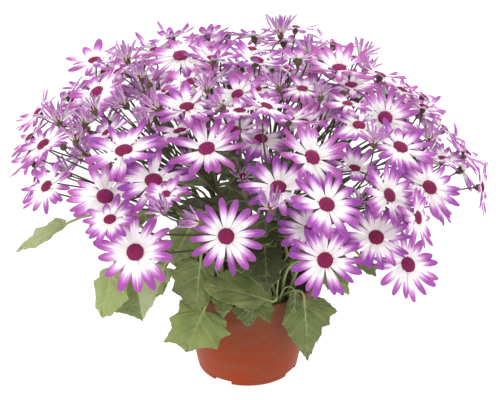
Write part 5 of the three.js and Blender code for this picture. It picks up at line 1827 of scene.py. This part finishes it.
class CINERARIA_OT_sprays(Operator):
    """Make the flower sprays: stems, stalks, bracts, petals, discs and calyces"""

    bl_idname = "cineraria.sprays"
    bl_label = "Flower sprays"

    def execute(self, context):
        settings = context.scene.cineraria_blooms
        tree = spray_tree(scatter_tree(), tube_tree())
        shapes = {
            "Petals": shape_collection("petal", petal_shapes()),
            "Discs": shape_collection("disc", [
                disc_shape("disc_open", settings.florets, 0.32, 5),
                disc_shape("disc_closed", 22, 0.9, 9, 0.8), plain_disc_shape("disc_plain", 17)]),
            "Calyces": shape_collection("calyx", [
                calyx_shape("calyx_cup", CUP_PROFILE, 0.06), calyx_shape("calyx_bud", BUD_PROFILE, 0.08)]),
            "Bracts": shape_collection("bract", [bract_shape("bract_0", 0.15), bract_shape("bract_1", -0.2)]),
        }
        materials = self.make_materials(settings)
        sprays = lay_out_sprays()
        heads = [bloom for spray in sprays for bloom in spray.blooms]
        # Petals keep out of the discs of others and of the space in front of them.
        centres = np.array([head.centre + step * head.face for step in DISC_STEPS for head in heads])
        sizes = np.tile([0.24 * head.radius + 1.5 for head in heads], len(DISC_STEPS))
        for number, spray in enumerate(sprays, 1):
            draw = random_draws(100 + number)
            places = {"Petals": [], "Discs": [], "Calyces": [], "Bracts": bract_places(spray, draw)}
            for bloom in spray.blooms:
                # The blooms low in the middle are the bluest, those high up or far out the pinkest.
                pinkness = 0.36 + abs(bloom.centre[0]) / 600 + (bloom.centre[2] - 210) / 300
                hue = float(np.clip(pinkness + jitter(draw, 0.4), 0, 1))
                others = np.tile([head is not bloom for head in heads], len(DISC_STEPS))
                discs = centres[others], sizes[others]
                places["Petals"] += petal_places(bloom, draw, hue, settings.petals, discs)
                for part, rows in zip(("Discs", "Calyces"), head_places(bloom, draw, hue)):
                    places[part] += rows
            points = {part: points_object(f"{part}_{number:02d}", rows) for part, rows in places.items()}
            lines = lines_object(f"stem_lines_{number:02d}", stem_lines(spray))
            use_tree(lines, tree, {
                "Stem sides": 7, **{f"{part} points": obj for part, obj in points.items()},
                **{f"{part} shapes": group for part, group in shapes.items()}, **materials})
            piece = bake(lines, f"flower_spray_{number:02d}", list(points.values()))
            finish_piece(piece, [f"spray_{number:02d}"])
        clear_shapes(shapes.values())
        return {"FINISHED"}

    def make_materials(self, settings):
        petal = (settings.white, settings.pale, settings.violet, settings.rose, settings.quill,
                 settings.cream)
        finishes = (
            ("Petal face", petal_finish, *petal, False),
            ("Petal back", petal_finish, *petal, True),
            ("Disc florets", disc_finish, linear("#3C0719"), settings.crimson, settings.magenta),
            ("Calyx skin", stem_finish, *map(linear, ("#40342A", "#574B35", "#776A4B"))),
            ("Bract face", stem_finish, *map(linear, ("#5A5A3A", "#76824E", "#8E9A66"))),
            ("Stem skin", stem_finish, settings.stalk_dark, settings.stalk_green, linear("#64624A")),
        )
        return {name: make_material(name, finish, *values) for name, finish, *values in finishes}


class CINERARIA_OT_stage(Operator):
    """Make the pale floor, the soft light and the camera"""

    bl_idname = "cineraria.stage"
    bl_label = "Stage"

    def execute(self, context):
        scene, settings = context.scene, context.scene.cineraria_stage
        half = settings.floor_width / 2
        mesh = bpy.data.meshes.new("floor")
        corners = [(-half, -half, 0), (half, -half, 0), (half, half, 0), (-half, half, 0)]
        mesh.from_pydata(corners, [], [(0, 1, 2, 3)])
        mesh.materials.append(make_material("Frosted acrylic", floor_finish, settings.floor, settings.glow))
        new_object("floor", mesh)
        scene.world = bpy.data.worlds.new("Studio light")
        scene.world.use_nodes = True
        backdrop = scene.world.node_tree.nodes["Background"]
        backdrop.inputs["Color"].default_value = (1, 1, 1, 1)
        backdrop.inputs["Strength"].default_value = settings.sky
        for name, spot, size, setting, share in LIGHTS:
            light = bpy.data.lights.new(name, "AREA")
            light.shape, light.size, light.energy = "DISK", size, getattr(settings, setting) * share
            lamp = new_object(name, light)
            lamp.location = spot
            aim = Vector((0, 0, 0.16)) - Vector(spot)
            lamp.rotation_euler = aim.to_track_quat("-Z", "Y").to_euler()
        camera = bpy.data.cameras.new("Camera")
        camera.lens, camera.sensor_width = VIEW["lens_mm"], 36
        camera.clip_start, camera.clip_end = 0.05, 50
        scene.camera = new_object("Camera", camera)
        scene.camera.location = Vector(EYE * MM)
        scene.camera.rotation_euler = Vector(TOWARDS).to_track_quat("Z", "Y").to_euler()
        scene.view_settings.view_transform = "Standard"
        return {"FINISHED"}


# Each group of settings, its class, and the operators shown under it.
GROUPS = {
    "cineraria_pot": (CinerariaPotSettings, (CINERARIA_OT_pot, CINERARIA_OT_soil)),
    "cineraria_leaves": (CinerariaLeafSettings, (CINERARIA_OT_leaves,)),
    "cineraria_blooms": (CinerariaBloomSettings, (CINERARIA_OT_sprays,)),
    "cineraria_stage": (CinerariaStageSettings, (CINERARIA_OT_stage,)),
}


class CINERARIA_PT_panel(Panel):
    """Sizes and colours of the plant, and what builds it"""

    bl_idname = "CINERARIA_PT_panel"
    bl_label = "Potted cineraria"
    bl_space_type = "VIEW_3D"
    bl_region_type = "UI"
    bl_category = "Cineraria"

    def draw(self, context):
        for group, (_, operators) in GROUPS.items():
            box = self.layout.box()
            settings = getattr(context.scene, group)
            for name in settings.__annotations__:
                box.prop(settings, name)
            for operator in operators:
                box.operator(operator.bl_idname)


CLASSES = (*(settings for settings, _ in GROUPS.values()),
           *(operator for _, operators in GROUPS.values() for operator in operators), CINERARIA_PT_panel)


def register():
    for cls in CLASSES:
        bpy.utils.register_class(cls)
    for name, (settings, _) in GROUPS.items():
        setattr(bpy.types.Scene, name, PointerProperty(type=settings))


def unregister():
    for name in GROUPS:
        delattr(bpy.types.Scene, name)
    for cls in reversed(CLASSES):
        bpy.utils.unregister_class(cls)


def main():
    register()
    bpy.ops.cineraria.stage()
    bpy.ops.cineraria.pot()
    bpy.ops.cineraria.soil()
    bpy.ops.cineraria.leaves()
    bpy.ops.cineraria.sprays()
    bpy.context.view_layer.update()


if __name__ == "__main__":
    main()
